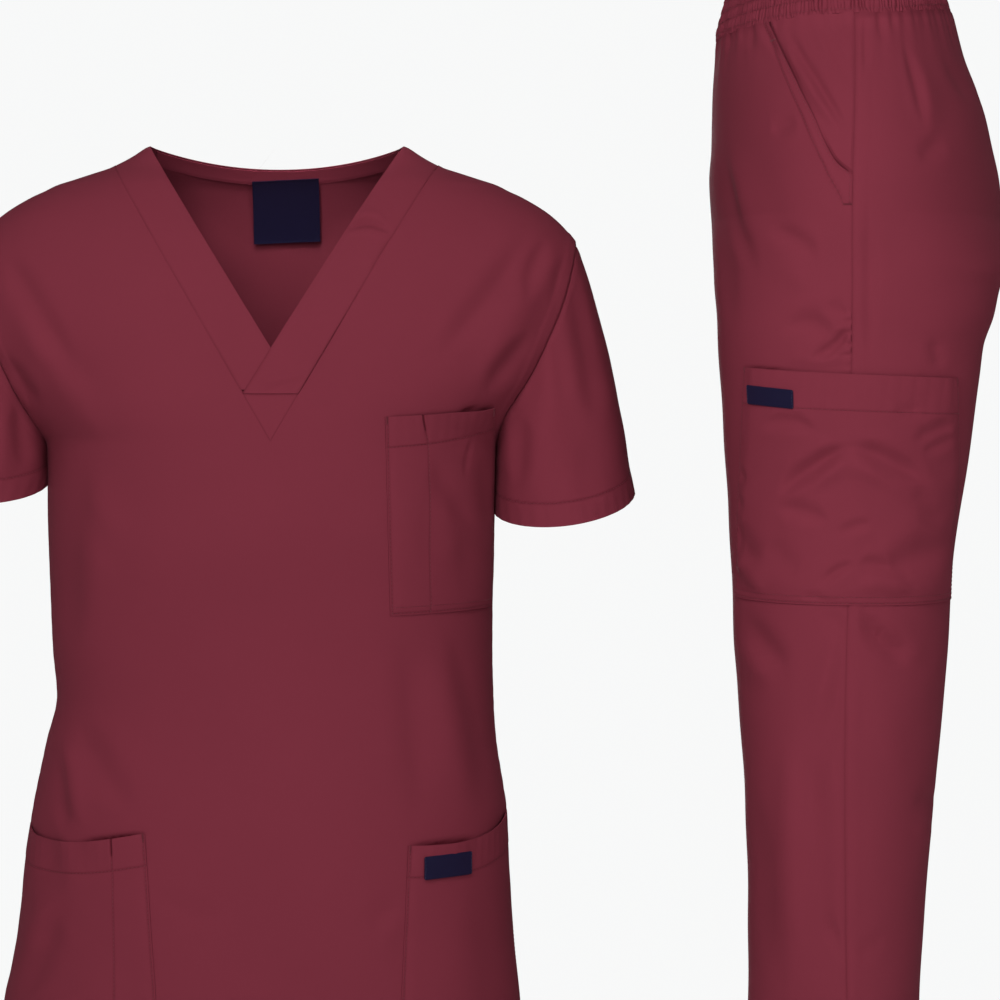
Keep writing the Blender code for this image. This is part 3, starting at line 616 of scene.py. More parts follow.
STITCH = 2.5                # length of a stitch that shows
BETWEEN = 0.7               # cloth between two stitches
TRIM_STITCH = (1.6, 0.6)    # the same two on a tag
THREAD = 0.2                # radius of the thread
THREAD_SIDES = 4
RINGS_AT = np.array([0, 0.22, 0.78, 1.0])       # share of a stitch's length at its rings
BULGE = np.array([0.45, 1.0, 1.0, 0.45])        # share of the thread's radius there
STAND = np.array([-0.15, 0.12, 0.12, -0.15])    # height of the rings above the cloth
TACK_PITCH = 0.5            # from one stitch of a bar tack to the next
TACK_RINGS = 1.8 * np.array([-0.5, -0.3, 0.3, 0.5])     # how far aside its rings lie
TACK_STAND = 0.1            # a bar tack stands this much higher than a stitch


def run_along(path):
    """Distance along a path, from its first point to each of its points."""
    return np.concatenate([[0], np.cumsum(np.linalg.norm(np.diff(path, axis=0), axis=-1))])


def points_at(at, run, values):
    """Three coordinates interpolated at distances along a path."""
    return np.stack([np.interp(at, run, values[:, k]) for k in range(3)], axis=-1)


def stitches(path, outs, length=STITCH, gap=BETWEEN):
    """Stitches in a row along a path: centres of their four rings, and the way out."""
    run = run_along(path)
    count = max(int(run[-1] / (length + gap)), 1)
    begin = (np.arange(count) + 0.5) * run[-1] / count - length / 2
    at = begin[:, None] + length * RINGS_AT
    out = unit(points_at(at, run, outs))
    return points_at(at, run, path) + out * STAND[:, None], out


def bar_tack(path, outs):
    """Close stitches across a short path, which lock a pocket's corner."""
    run = run_along(path)
    at = np.linspace(0, run[-1], max(int(run[-1] / TACK_PITCH), 4))
    middle = points_at(at, run, path)
    out = unit(points_at(at, run, outs))
    sideways = unit(np.cross(out, unit(np.gradient(middle, axis=0))))
    rings = middle[:, None] + sideways[:, None] * TACK_RINGS[:, None]
    return rings + out[:, None] * (STAND[:, None] + TACK_STAND), np.repeat(out[:, None], 4, axis=1)


def thread_object(name, runs, finish):
    """One mesh of all the stitches: each a tube of four rings, closed at its ends."""
    rings = np.concatenate([run[0] for run in runs])
    out = np.concatenate([run[1] for run in runs])
    ahead = unit(rings[:, -1] - rings[:, 0])[:, None]
    side = unit(np.cross(ahead, out))
    up = np.cross(side, ahead)
    turn = np.linspace(0, 2 * np.pi, THREAD_SIDES, endpoint=False)[:, None]
    spoke = np.cos(turn) * side[:, :, None] + np.sin(turn) * up[:, :, None]
    points = rings[:, :, None] + spoke * (THREAD * BULGE)[:, None, None]
    k = np.arange(THREAD_SIDES)
    ring = np.arange(3)[:, None] * THREAD_SIDES
    after = (k + 1) % THREAD_SIDES
    tube = np.stack([ring + k, ring + after, ring + after + THREAD_SIDES, ring + k + THREAD_SIDES], axis=-1)
    fan = np.arange(1, THREAD_SIDES - 1)
    near = np.stack([0 * fan, fan + 1, fan, fan], axis=-1)[:, :3]
    far = np.stack([0 * fan, fan, fan + 1], axis=-1) + 3 * THREAD_SIDES
    tube = tube.reshape(-1, 4)
    sides = np.concatenate([tube[:, [0, 1, 2]], tube[:, [0, 2, 3]]])
    one = np.concatenate([sides, near, far])
    each = 4 * THREAD_SIDES
    faces = (one[None] + each * np.arange(len(points))[:, None, None]).reshape(-1, 3)
    points = points.reshape(-1, 3)
    middle = points.reshape(-1, each, 3).mean(axis=1)
    corner = points[faces[:len(one)]]
    facing = np.cross(corner[:, 1] - corner[:, 0], corner[:, 2] - corner[:, 0])
    if np.sum(facing * (corner.mean(axis=1) - middle[0])) < 0:
        faces = faces[:, ::-1]
    return mesh_object(name, points, faces, finish)


# ---- Finishes ----

WINE = (0.166, 0.0245, 0.0405)
# Painted shade: the darker wine painted where seams, stitch lines and pocket mouths fall in shade.
WINE_PAINTED_SHADE = (0.070, 0.006, 0.012)
WINE_THREAD = (0.142, 0.018, 0.031)
NAVY = (0.0090, 0.0078, 0.0280)
NAVY_LIGHT = (0.020, 0.019, 0.052)
YARN = 0.46                 # from one yarn of the poplin to the next
RIBBON_YARN = 0.30


def rgba(colour):
    return (*colour, 1.0)


def lighter(colour, times):
    return tuple(part * times for part in colour)


def woven(name, colour, shade_paint_colour, yarn, bump, roughness, sheen, slub):
    """A plain weave on the weave map: over and under is the product of two sine waves.

    Slow noise on the object varies the colour, long thin noise on the weave map makes
    slubs, and an attribute mixes in painted shade: a darker colour where seams, stitch lines and pocket
    mouths fall in shade.
    """
    finish = bpy.data.materials.new(name)
    finish.use_nodes = True
    nodes, links = finish.node_tree.nodes, finish.node_tree.links
    shader = nodes["Principled BSDF"]
    shader.inputs["Roughness"].default_value = roughness
    shader.inputs["Specular IOR Level"].default_value = 0.05
    shader.inputs["Sheen Weight"].default_value = sheen
    shader.inputs["Sheen Roughness"].default_value = 0.45
    shader.inputs["Sheen Tint"].default_value = (0.85, 0.3, 0.38, 1.0)

    def node(kind, **settings):
        made = nodes.new(kind)
        for key, value in settings.items():
            setattr(made, key, value)
        return made

    def calculate(operation, first, second):
        made = node("ShaderNodeMath", operation=operation)
        for socket, value in zip(made.inputs, (first, second)):
            if isinstance(value, float):
                socket.default_value = value
            elif value is not None:
                links.new(value, socket)
        return made.outputs[0]

    cloth_map = node("ShaderNodeUVMap", uv_map="weave")
    scale = node("ShaderNodeMapping")
    turns = 2 * np.pi * 10 / (2 * yarn)
    scale.inputs["Scale"].default_value = (turns, turns, 1.0)
    links.new(cloth_map.outputs[0], scale.inputs["Vector"])
    split = node("ShaderNodeSeparateXYZ")
    links.new(scale.outputs[0], split.inputs[0])
    warp = calculate("SINE", split.outputs[0], None)
    weft = calculate("SINE", split.outputs[1], None)
    over = calculate("MULTIPLY", warp, weft)

    place = node("ShaderNodeTexCoord")
    slow = node("ShaderNodeTexNoise")
    slow.inputs["Scale"].default_value = 11.0
    slow.inputs["Detail"].default_value = 3.0
    links.new(place.outputs["Object"], slow.inputs["Vector"])
    stretch = node("ShaderNodeMapping")
    stretch.inputs["Scale"].default_value = (14.0, 0.9, 1.0)
    links.new(cloth_map.outputs[0], stretch.inputs["Vector"])
    long_yarns = node("ShaderNodeTexNoise")
    long_yarns.inputs["Scale"].default_value = 1.0
    long_yarns.inputs["Detail"].default_value = 2.0
    links.new(stretch.outputs[0], long_yarns.inputs["Vector"])

    tone = calculate("MULTIPLY", slow.outputs["Fac"], 0.10)
    tone = calculate("ADD", tone, 0.95)
    thread_tone = calculate("MULTIPLY", long_yarns.outputs["Fac"], slub)
    tone = calculate("ADD", tone, thread_tone)
    shade = calculate("MULTIPLY", over, 0.05)
    tone = calculate("ADD", tone, shade)
    tone = calculate("SUBTRACT", tone, slub / 2)

    # Painted shade: the colour is mixed towards the shade colour by the shade attribute.
    painted_shade = node("ShaderNodeAttribute", attribute_name="painted_shade")
    shade_paint_mix = node("ShaderNodeMix", data_type="RGBA")
    shade_paint_mix.inputs["A"].default_value = rgba(colour)
    shade_paint_mix.inputs["B"].default_value = rgba(shade_paint_colour)
    links.new(painted_shade.outputs["Fac"], shade_paint_mix.inputs["Factor"])
    varied = node("ShaderNodeVectorMath", operation="SCALE")
    links.new(shade_paint_mix.outputs["Result"], varied.inputs[0])
    links.new(tone, varied.inputs["Scale"])
    links.new(varied.outputs[0], shader.inputs["Base Color"])

    height = calculate("MULTIPLY", long_yarns.outputs["Fac"], 0.8)
    height = calculate("ADD", height, over)
    relief = node("ShaderNodeBump")
    relief.inputs["Strength"].default_value = 0.55
    relief.inputs["Distance"].default_value = bump * MM
    links.new(height, relief.inputs["Height"])
    links.new(relief.outputs[0], shader.inputs["Normal"])
    return finish


def spun(name, colour):
    """Sewing thread: a soft sheen, and fine noise across it for its twist."""
    finish = bpy.data.materials.new(name)
    finish.use_nodes = True
    nodes, links = finish.node_tree.nodes, finish.node_tree.links
    shader = nodes["Principled BSDF"]
    shader.inputs["Roughness"].default_value = 0.62
    shader.inputs["Specular IOR Level"].default_value = 0.35
    place = nodes.new("ShaderNodeTexCoord")
    twist = nodes.new("ShaderNodeTexNoise")
    twist.inputs["Scale"].default_value = 2600.0
    links.new(place.outputs["Object"], twist.inputs["Vector"])
    colours = nodes.new("ShaderNodeValToRGB")
    colours.color_ramp.elements[0].position = 0.3
    colours.color_ramp.elements[0].color = rgba(np.array(colour) * 0.7)
    colours.color_ramp.elements[1].position = 0.7
    colours.color_ramp.elements[1].color = rgba(np.array(colour) * 1.2)
    links.new(twist.outputs["Fac"], colours.inputs["Fac"])
    links.new(colours.outputs["Color"], shader.inputs["Base Color"])
    return finish


# A weave's painted shade colour (its colour where shade falls), yarn, bump, roughness, sheen, and how much
# slubs vary it.
POPLIN_LOOK = (WINE_PAINTED_SHADE, YARN, 0.05, 0.82, 0.03, 0.06)
RIBBON_LOOK = (NAVY_LIGHT, RIBBON_YARN, 0.04, 0.55, 0.10, 0.10)

poplin = woven("wine_poplin_finish", WINE, *POPLIN_LOOK)
# Painted light: the trousers' poplin is a 9 % lighter copy of the top's, making up for the trousers
# catching less light.
trouser_poplin_painted_light = woven("wine_trouser_painted_light", lighter(WINE, 1.09), *POPLIN_LOOK)
# Painted light: the tape's poplin is a 35 % lighter copy, brightening the inside of the back neck where
# little light reaches.
tape_painted_light_finish = woven("wine_tape_painted_light", lighter(WINE, 1.35), *POPLIN_LOOK)
ribbon = woven("navy_ribbon_finish", NAVY, *RIBBON_LOOK)
wine_thread = spun("wine_thread_finish", WINE_THREAD)
navy_thread = spun("navy_thread_finish", NAVY_LIGHT)


def hand_over(cloth, node, wall=POPLIN, finish=poplin):
    """The sewn piece stands for its solid and rides with it."""
    made = sew_up(cloth, wall, finish)
    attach(made, "root")
    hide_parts(node)


def hand_over_thread(name, runs, finish):
    """Stitches ride with the garment and stand for no solid."""
    made = thread_object(name, runs, finish)
    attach(made, "root")


# ---- The top ----

FRONT_COLUMNS = (28, 48)    # from the middle to the neck's corner, and on to the edge
BACK_COLUMNS = (22, 36)
ARMHOLE_ROWS = 72
FRONT_LOWER_ROWS = 176
BACK_LOWER_ROWS = 110
YOKE = -292.0
MOUTHS = 0.53               # share of the way down to the hem at the lower pockets' mouths
SLEEVE_RINGS = 64
HEM_DEPTH = 25.0            # of the top's and the trousers' hems
TAPE_LIFT = -1.5            # the tape and the label lie inside the back, behind its face
LABEL_LIFT = -3.6
LABEL_COLUMNS, LABEL_ROWS = 44, 40
TAG_LIFT = 4.4              # a tag's face above the panel, on top of its pocket


def ridge(x):
    """Height of the shoulder line at x, where the outline is as wide as x, by halving."""
    low, high = SHOULDER_TIP + 0 * x, 0.0 * x
    for _ in range(40):
        middle = (low + high) / 2
        below = smooth(OUTLINE, "left", middle) > np.abs(x)
        low, high = np.where(below, middle, low), np.where(below, high, middle)
    return low


def front_neck(x):
    """Height of the seam between the front and the neck bands."""
    slope = (ridge(BAND_TOP) - BAND_APEX) / BAND_TOP
    return BAND_APEX + slope * np.abs(x) + 1.0


def back_neck(x):
    return -BACK_NECK_DROP * np.maximum(1 - (x / NECK_HALF) ** 2, 0.0)


def edge_of_panel(share, z):
    """x of the column at this share of the way out, at height z."""
    hole = np.where(z > UNDERARM, by_side(ARMHOLE, share, z), by_side(OUTLINE, share, z))
    return share * hole


def top_of_column(share, neck, corner):
    """Height where each column meets the neck seam or the shoulder line, by halving."""
    low, high = np.full(share.shape, BAND_APEX - 5), np.zeros(share.shape)
    for _ in range(40):
        middle = (low + high) / 2
        x = edge_of_panel(share, middle)
        below = np.where(np.abs(x) < corner, middle < neck(x), np.abs(x) < by_side(OUTLINE, x, middle))
        low, high = np.where(below, middle, low), np.where(below, high, middle)
    return low


def body_panel(name, face, neck, corner, counts, lower_rows):
    """Rows and columns of the front or back, from its top edge to the hem."""
    start = np.arcsin((corner / SIDE_TIP) ** 1.15)
    inner = np.linspace(0, start, counts[0] + 1)
    outer = np.linspace(start, np.pi / 2, counts[1] + 1)[1:]
    half = np.sin(np.concatenate([inner, outer])) ** (1 / 1.15)
    share = np.concatenate([-half[:0:-1], half])
    top = top_of_column(share, neck, corner)
    middle = YOKE + (UNDERARM - YOKE) * np.abs(share) ** 2
    upper = (1 - np.cos(np.linspace(0, np.pi, ARMHOLE_ROWS + 1)))[:, None] / 2
    lower = spread(lower_rows + 1, MOUTHS, closer=2.6, within=0.035)[1:, None]
    z = np.concatenate([top + (middle - top) * upper, middle + (TOP_HEM - middle) * lower])
    return Cloth(name, on_torso(edge_of_panel(share, z), z, face))


def body_creases(x, z, face):
    """The torso's creases and slow unevenness, nothing along the shoulders and armholes."""
    rows = TOP_FRONT_CREASES if face == "front" else TOP_BACK_CREASES
    amount = 0.35 if face == "front" else 0.8
    return creased(rows, x, z) + amount * swell(x, z, 118.0, 0.6 if face == "front" else 2.3)


def finish_panel(panel, face, hem_pucker):
    """Creases, the seams at both sides and the top, and the stitched hem."""
    x, z = panel.base[..., 0], panel.base[..., 2]
    side, top, bottom = panel.near("left", "right"), panel.in_from("top"), panel.in_from("bottom")
    calm = step(side, 0, 16) * step(top, 0, 12)
    panel.rise += body_creases(x, z, face) * calm
    panel.rise += 0.5 * step(side, 1.5, 3) * (1 - step(side, 10, 13))
    panel.groove(side, 1.6, 0.5, 0.45)
    panel.groove(top, 1.6, 0.4, 0.2)
    panel.rise += 0.25 * gathers(z, 13.0, 1.0) * np.exp(-side / 4)
    panel.groove(bottom - HEM_DEPTH, 1.2, 0.4, 0.5)
    panel.rise += hem_pucker * gathers(x, 15.0, 0.4) * (1 - step(bottom, HEM_DEPTH - 6, HEM_DEPTH))


def sleeve(side, front, back):
    """A tube from the armhole's points to the hem ring.

    Its lines run straight from one to the other and stand out by share ^ 0.7 times
    (1 - share) ^ 1.2, most along the outer line and not at all at the underarm. Its back
    has the creases of its front, 9 mm lower.
    """
    hem = SLEEVE_HEMS[side]
    sign = 1 if side == "left" else -1
    column = -1 if side == "left" else 0
    edges = [part.base[:ARMHOLE_ROWS + 1, column].copy() for part in (front, back)]
    normals = [part.out[:ARMHOLE_ROWS + 1, column] for part in (front, back)]
    edges[0][[0, -1], 1] = 0
    hole = np.concatenate([edges[0], edges[1][-2:0:-1]])
    hole_normal = np.concatenate([normals[0], normals[1][-2:0:-1]])
    turn = np.linspace(0, 2 * np.pi, len(hole), endpoint=False)
    cos, sin = np.cos(turn), np.sin(turn)
    under_arm = np.maximum(-cos, 0)
    end = np.stack([hem["x"] + sign * (hem["half_width"] * cos - SLEEVE_LEAN[side] * under_arm),
                    -SLEEVE_HALF_DEPTH * sin,
                    hem["z"] + hem["half_width"] * hem["rise"] * cos
                    - SLEEVE_HALF_DEPTH * SLEEVE_FRONT_DROP * sin], axis=-1)
    begin = hole - np.array([1.2 * sign, 0, 0]) - 0.35 * hole_normal
    share = spread(SLEEVE_RINGS, 0.0, 0.9, closer=2.5, within=0.05)[:, None, None]
    rise = np.maximum(cos, 0)[:, None] * SLEEVE_CROWN * np.array([sign, 0, 0.25])
    rise = rise - under_arm[:, None] * np.array([2.5 * sign, 0, 0])
    full = sin[:, None] * SLEEVE_FRONT_FULL * np.array([0, -1.0, 0])
    stand = share ** 0.7 * (1 - share) ** 1.2
    points = begin + (end - begin) * share + stand * (rise + full)
    around = np.roll(points, -1, axis=1) - np.roll(points, 1, axis=1)
    down = np.gradient(points, axis=0)
    normal = unit(np.cross(around, down)) * sign
    facing = np.sum(normal[0] * hole_normal, axis=-1, keepdims=True)
    blend = np.clip((facing + 0.2) / 0.7, 0, 1)
    normal[0] = unit(normal[0] * (1 - blend) + hole_normal * blend)
    tube = Cloth("sleeve_" + side + "_cloth", (points, normal), ring=True)
    x, z = points[..., 0], points[..., 2]
    top, bottom = tube.in_from("top"), tube.in_from("bottom")
    front_half = step(np.broadcast_to(sin, x.shape), -0.25, 0.25)
    folds = creased(SLEEVE_CREASES[side], x, z) * front_half
    folds += creased(SLEEVE_CREASES[side], x, z + 9) * (1 - front_half)
    tube.rise += folds * step(top, 0, 14) * step(bottom, 0, 20)
    tube.rise += 0.35 * swell(x + points[..., 1], z, 70.0, 1.4) * step(top, 0, 14)
    tube.groove(top, 1.4, 0.5, 0.5)
    tube.rise += 0.35 * step(top, 0, 3) * (1 - step(top, 9, 12))
    tube.groove(bottom - SLEEVE_HEM_DEPTH, 0.9, 0.3, 0.45)
    arc = tube.in_from("left")
    tube.rise += 0.22 * gathers(arc, 11.0, 2.0) * (1 - step(bottom, 12, 18))
    return tube


def band(name, sign, lap, end):
    """A neck band: a strip from the shoulder past the V's point, both edges straight."""
    station = np.linspace(0, 1, 130)
    shoulder = np.linspace(NECK_HALF, BAND_TOP, 22)
    end_outer = BAND_TOP * (end - BAND_APEX) / (ridge(BAND_TOP) - BAND_APEX)
    end_inner = NECK_HALF * (1 + end / V_DEPTH)
    foot = np.linspace(end_inner, end_outer, 22)
    x = shoulder + (foot - shoulder) * station[:, None]
    z = ridge(shoulder) + (end - ridge(shoulder)) * station[:, None]
    rise = np.clip((-105 - z) / 45, 0, 1)
    lower = 1 - 0.4 * step(-z, 180, 192)
    strip = Cloth(name, on_torso(sign * x, z, "front", lap * lower * rise * rise * (3 - 2 * rise)))
    inner, outer = strip.in_from("left"), strip.in_from("right")
    strip.rise += creased(BAND_CREASES, sign * x, z) * step(strip.in_from("top"), 0, 8)
    strip.rise += 0.3 * step(inner, 0, 5) - 0.35 * (1 - step(inner, 0, 2.2))
    strip.rise += 0.18 * swell(sign * x, z, 46.0, 1.1)
    strip.groove(outer, 0.9, 0.25, 0.25)
    # Painted shade along the over band's inner edge, where it crosses the other band.
    if lap:
        crossing = step(-z, V_DEPTH - 2, V_DEPTH + 4)
        strip.painted_shade = np.maximum(strip.painted_shade, 0.4 * crossing * np.exp(-(inner / 0.9) ** 2))
    return strip


def insert():
    """The small triangle of the V below the crossed bands."""
    slope = (ridge(BAND_TOP) - BAND_APEX) / BAND_TOP
    z = np.linspace(BAND_END + 1, BAND_APEX + 0.4, 22)[:, None]
    half = (z - BAND_APEX) / slope + 0.4
    piece = Cloth("neck_insert_cloth", on_torso(np.linspace(-1, 1, 25) * half, z, "front"))
    piece.groove(piece.near("left", "right"), 0.8, 0.25, 0.5)
    piece.groove(piece.in_from("top") - 1.0, 0.8, 0.3, 0.4)
    return piece


def slice_angle(x, z):
    """The slice's angle at x: 0 in the middle, a quarter turn at the side seam."""
    share = np.abs(x / by_side(OUTLINE, x, z))
    return np.arcsin(np.clip(share, 0, 1) ** (smooth(DEPTH, "power", z) / 2))


CHEST_PEN = 0.27            # share of the way across a patch at its sewn line
LOWER_PEN = 0.155
SLIT_ROWS = 12              # rows above that line, beside the slit
# Where a mouth stands open: from this share of the way across to that, and how far.
CHEST_GAPE = (0.55, 1.0, 1.0)
LOWER_LEFT_GAPE = (-0.02, 0.45, 2.4)
LOWER_RIGHT_GAPE = (-0.02, 0.36, 2.2)
CORNER_SWELL = 2.5          # how far the panel swells beside a lower pocket's outer corner
PATCH_EDGE = 1.15           # a patch's face above the panel at its sewn edges
PATCH_FULL = 1.15           # how much more it stands off towards the side seam
EDGE_STITCH = 1.6           # its edges to the stitches that hold them
PATCH_COLUMNS = 68
PATCH_ROWS = 96


def patch_pocket(name, pocket, pen, gape, creases=None):
    """A patch between two edges, with a hemmed mouth and a line sewn down at pen.

    pen is the share across of the sewn line; gape is (share, share, lift), the stretch
    of the mouth that stands open and how far.
    """
    hem = pocket["hem"]
    across = patch_columns(pen)
    down = spread(PATCH_ROWS, 0.0, hem / 150, 1.0, closer=3.0, within=0.02)[:, None]
    mouth = three_heights(pocket["opening"], across)
    z = between((mouth, between(pocket["base"], across)), down)
    inner, outer = between(pocket["inner"], down), between(pocket["outer"], down)
    outer = np.sign(outer) * np.minimum(np.abs(outer), by_side(OUTLINE, outer, z) - 0.02)
    inner = np.broadcast_to(inner, z.shape)
    angle = slice_angle(inner, z) * (1 - across) + slice_angle(outer, z) * across
    x = np.sign(inner) * by_side(OUTLINE, inner, z) * np.sin(angle) ** (2 / smooth(DEPTH, "power", z))
    patch = Cloth(name, on_torso(x, z, "front", PATCH_EDGE + PATCH_FULL * across ** 1.5))
    side = patch.near("left", "right", "bottom")
    patch.rise += body_creases(x, z, "front") * step(patch.in_from("right"), 0, 16)
    patch.rise += 0.7 * step(side, 1, 9) - 0.25 * (1 - step(side, 0, 1.4))
    if creases is not None:
        patch.rise += creased(creases, x, z) * step(side, 0, 6)
    patch.rise += 0.25 * swell(x, z, 40.0, 0.9) * step(side, 0, 8)
    sew_patch(patch, across, gape, 24, hem, (0.22, 0.35), (0.3, 0.3), 9.0, 1.1)
    if pen:
        run = patch.in_from("left")
        column = pen_column(pen)
        line = run - run[:, column:column + 1]
        patch.groove(line, 0.9, 0.25, 0.28)
        # The slit is a dip with painted shade in it.
        slit = np.exp(-(line / 0.75) ** 2) * (1 - step(patch.in_from("top"), 11, 16))
        patch.rise -= 1.1 * slit
        patch.painted_shade = np.maximum(patch.painted_shade, slit)
    return patch


def sew_patch(patch, share, gape, fade, hem, edge, fold, pitch, start):
    """The mouth's gape, and the pressed and stitched edges and hem.

    fade is how far down the gape dies away; edge and fold are the depth and the shade of
    the groove along the edges and under the hem; pitch and start are the hem's gathers.
    """
    side, top = patch.near("left", "right", "bottom"), patch.in_from("top")
    patch.rise += gape[2] * mouth_open(share, gape) * (1 - step(top, 0, fade))
    patch.groove(side - EDGE_STITCH, 0.8, *edge)
    patch.groove(top - hem, 0.8, *fold)
    patch.rise += 0.25 * (1 - step(top, hem - 1, hem + 1))
    patch.rise += 0.16 * gathers(patch.in_from("left"), pitch, start) * (1 - step(top, hem - 5, hem + 4))


def patch_stitches(patch, hem, corner):
    """Threads of a patch: its hem, its lower edge twice, its sides, and a tack at each end of its mouth."""
    runs = [stitches(*patch.line("top", hem))]
    runs += [stitches(*patch.line("bottom", away)) for away in (EDGE_STITCH, 6.0)]
    for edge in ("left", "right"):
        runs.append(stitches(*patch.line(edge, EDGE_STITCH)))
        runs.append(bar_tack(*patch.line(edge, 1.4, 0.0, corner)))
    return runs


def mouth_open(across, gape):
    """1 in the middle of the open stretch of a pocket's mouth, falling to 0 at its ends."""
    first, last, _ = gape
    edge = 0.4 * (last - first)
    return step(across, first, first + edge) * (1 - step(across, last - edge, last + 0.02))


def pen_line(patch, pen):
    """The sewn line that divides a pocket, below its slit."""
    column = pen_column(pen)
    return patch.points()[SLIT_ROWS:, column], patch.out[SLIT_ROWS:, column]


def patch_columns(pen):
    """Shares across a patch, closer at its edges and at the sewn line, if it has one."""
    marks = (0.0, 1.0, pen) if pen else (0.0, 1.0)
    return spread(PATCH_COLUMNS, *marks, closer=4.0, within=0.02)


def pen_column(pen):
    """The column of a patch that lies on the sewn line."""
    return int(np.argmin(np.abs(patch_columns(pen) - pen)))


def flat_patch(name, place, face, lift, columns, rows, radius=0.0):
    """A small tilted rectangle on the torso, its corners rounded and its border pressed flat."""
    across = spread(columns, 0.0, 1.0, closer=5.0, within=0.03)
    down = np.linspace(0, 1, rows)[:, None]
    x = between(place["x"], across)
    cut = rounded(across, x[-1] - x[0], radius)
    z = between(place["top"], across) - cut - (place["height"] - 2 * cut) * down
    return soften(Cloth(name, on_torso(x + 0 * z, z, face, lift)), place["height"])


def rounded(across, width, radius):
    """How much a tag is shorter at its top and bottom near its sides, for round corners."""
    from_side = np.minimum(across, 1 - across) * width
    return radius - np.sqrt(np.maximum(radius ** 2 - np.maximum(radius - from_side, 0.0) ** 2, 0.0))


def soften(tag, height):
    """A tag's edges turn under by a quarter of a millimetre, and its face is a little uneven."""
    tag.rise -= 0.25 * (1 - step(tag.near("top", "bottom", "left", "right"), 0, 0.9))
    tag.rise += 0.15 * swell(tag.in_from("left"), tag.in_from("top"), height, 2.0)
    return tag


def neck_tape(back):
    """The strip inside the back neck, on the back panel's own columns."""
    top = back.base[0]
    x = top[np.abs(top[:, 0]) < NECK_HALF - 1, 0]
    z = back_neck(x) - np.linspace(0.6, NECK_TAPE_WIDTH, 9)[:, None]
    tape = Cloth("neck_tape_cloth", on_torso(x + 0 * z, z, "back", TAPE_LIFT))
    tape.groove(tape.in_from("bottom") - 1.2, 0.8, 0.2, 0.5)
    return tape


def hollow_behind(panel, across, below, above_base, gape):
    """The panel lies deeper behind a pocket, and in the open mouth it gets painted shade, as little light
    reaches it there.

    across is the share of the pocket's width, below the distance down from its mouth and
    above_base the distance up from its lower edge.
    """
    within = step(across, 0.04, 0.10) * step(1 - across, 0.04, 0.10)
    panel.rise -= 3.2 * within * step(below, 1, 8) * step(above_base, 4, 12)
    near = np.exp(-((below + 0.3) / (0.6 + 0.5 * gape[2])) ** 2) * mouth_open(across, gape)
    near = near * min(gape[2], 1.0)
    panel.rise -= 2.0 * near
    # Painted shade in the open mouth.
    panel.painted_shade = np.maximum(panel.painted_shade, np.clip(1.5 * near, 0, 1))


def hollow_front(panel, pocket, gape):
    x, z = panel.base[..., 0], panel.base[..., 2]
    outer = pocket["outer"][0]
    outer = np.sign(outer) * np.minimum(by_side(OUTLINE, x, z), abs(outer))
    across = slice_share(x, z, pocket["inner"][0], outer)
    below = three_heights(pocket["opening"], np.clip(across, 0, 1)) - z
    hollow_behind(panel, across, below, z - pocket["base"][0], gape)


def fill_corner(panel, pocket):
    """The panel swells out beside the outer corner of a pocket's mouth, to meet it.

    The swell dies away round the body as exp(-(1 - |x| / side) / 0.04), where side is how
    far out the side seam is.
    """
    x, z = panel.base[..., 0], panel.base[..., 2]
    from_side = 1 - np.abs(x) / np.abs(by_side(OUTLINE, x, z))
    near = np.exp(-np.maximum(from_side, 0) / 0.04) * (np.sign(x) == np.sign(pocket["outer"][0]))
    above = z - pocket["opening"][2]
    panel.rise += CORNER_SWELL * near * step(above, -14, 0) * (1 - step(above, 3, 75))


def slice_share(x, z, inner, outer):
    """Share of the way round the slice from inner to outer, below 0 on the other side."""
    first = slice_angle(inner, z)
    share = (slice_angle(x, z) - first) / (slice_angle(outer, z) - first)
    return np.where(np.sign(x) == np.sign(inner), share, -1.0)


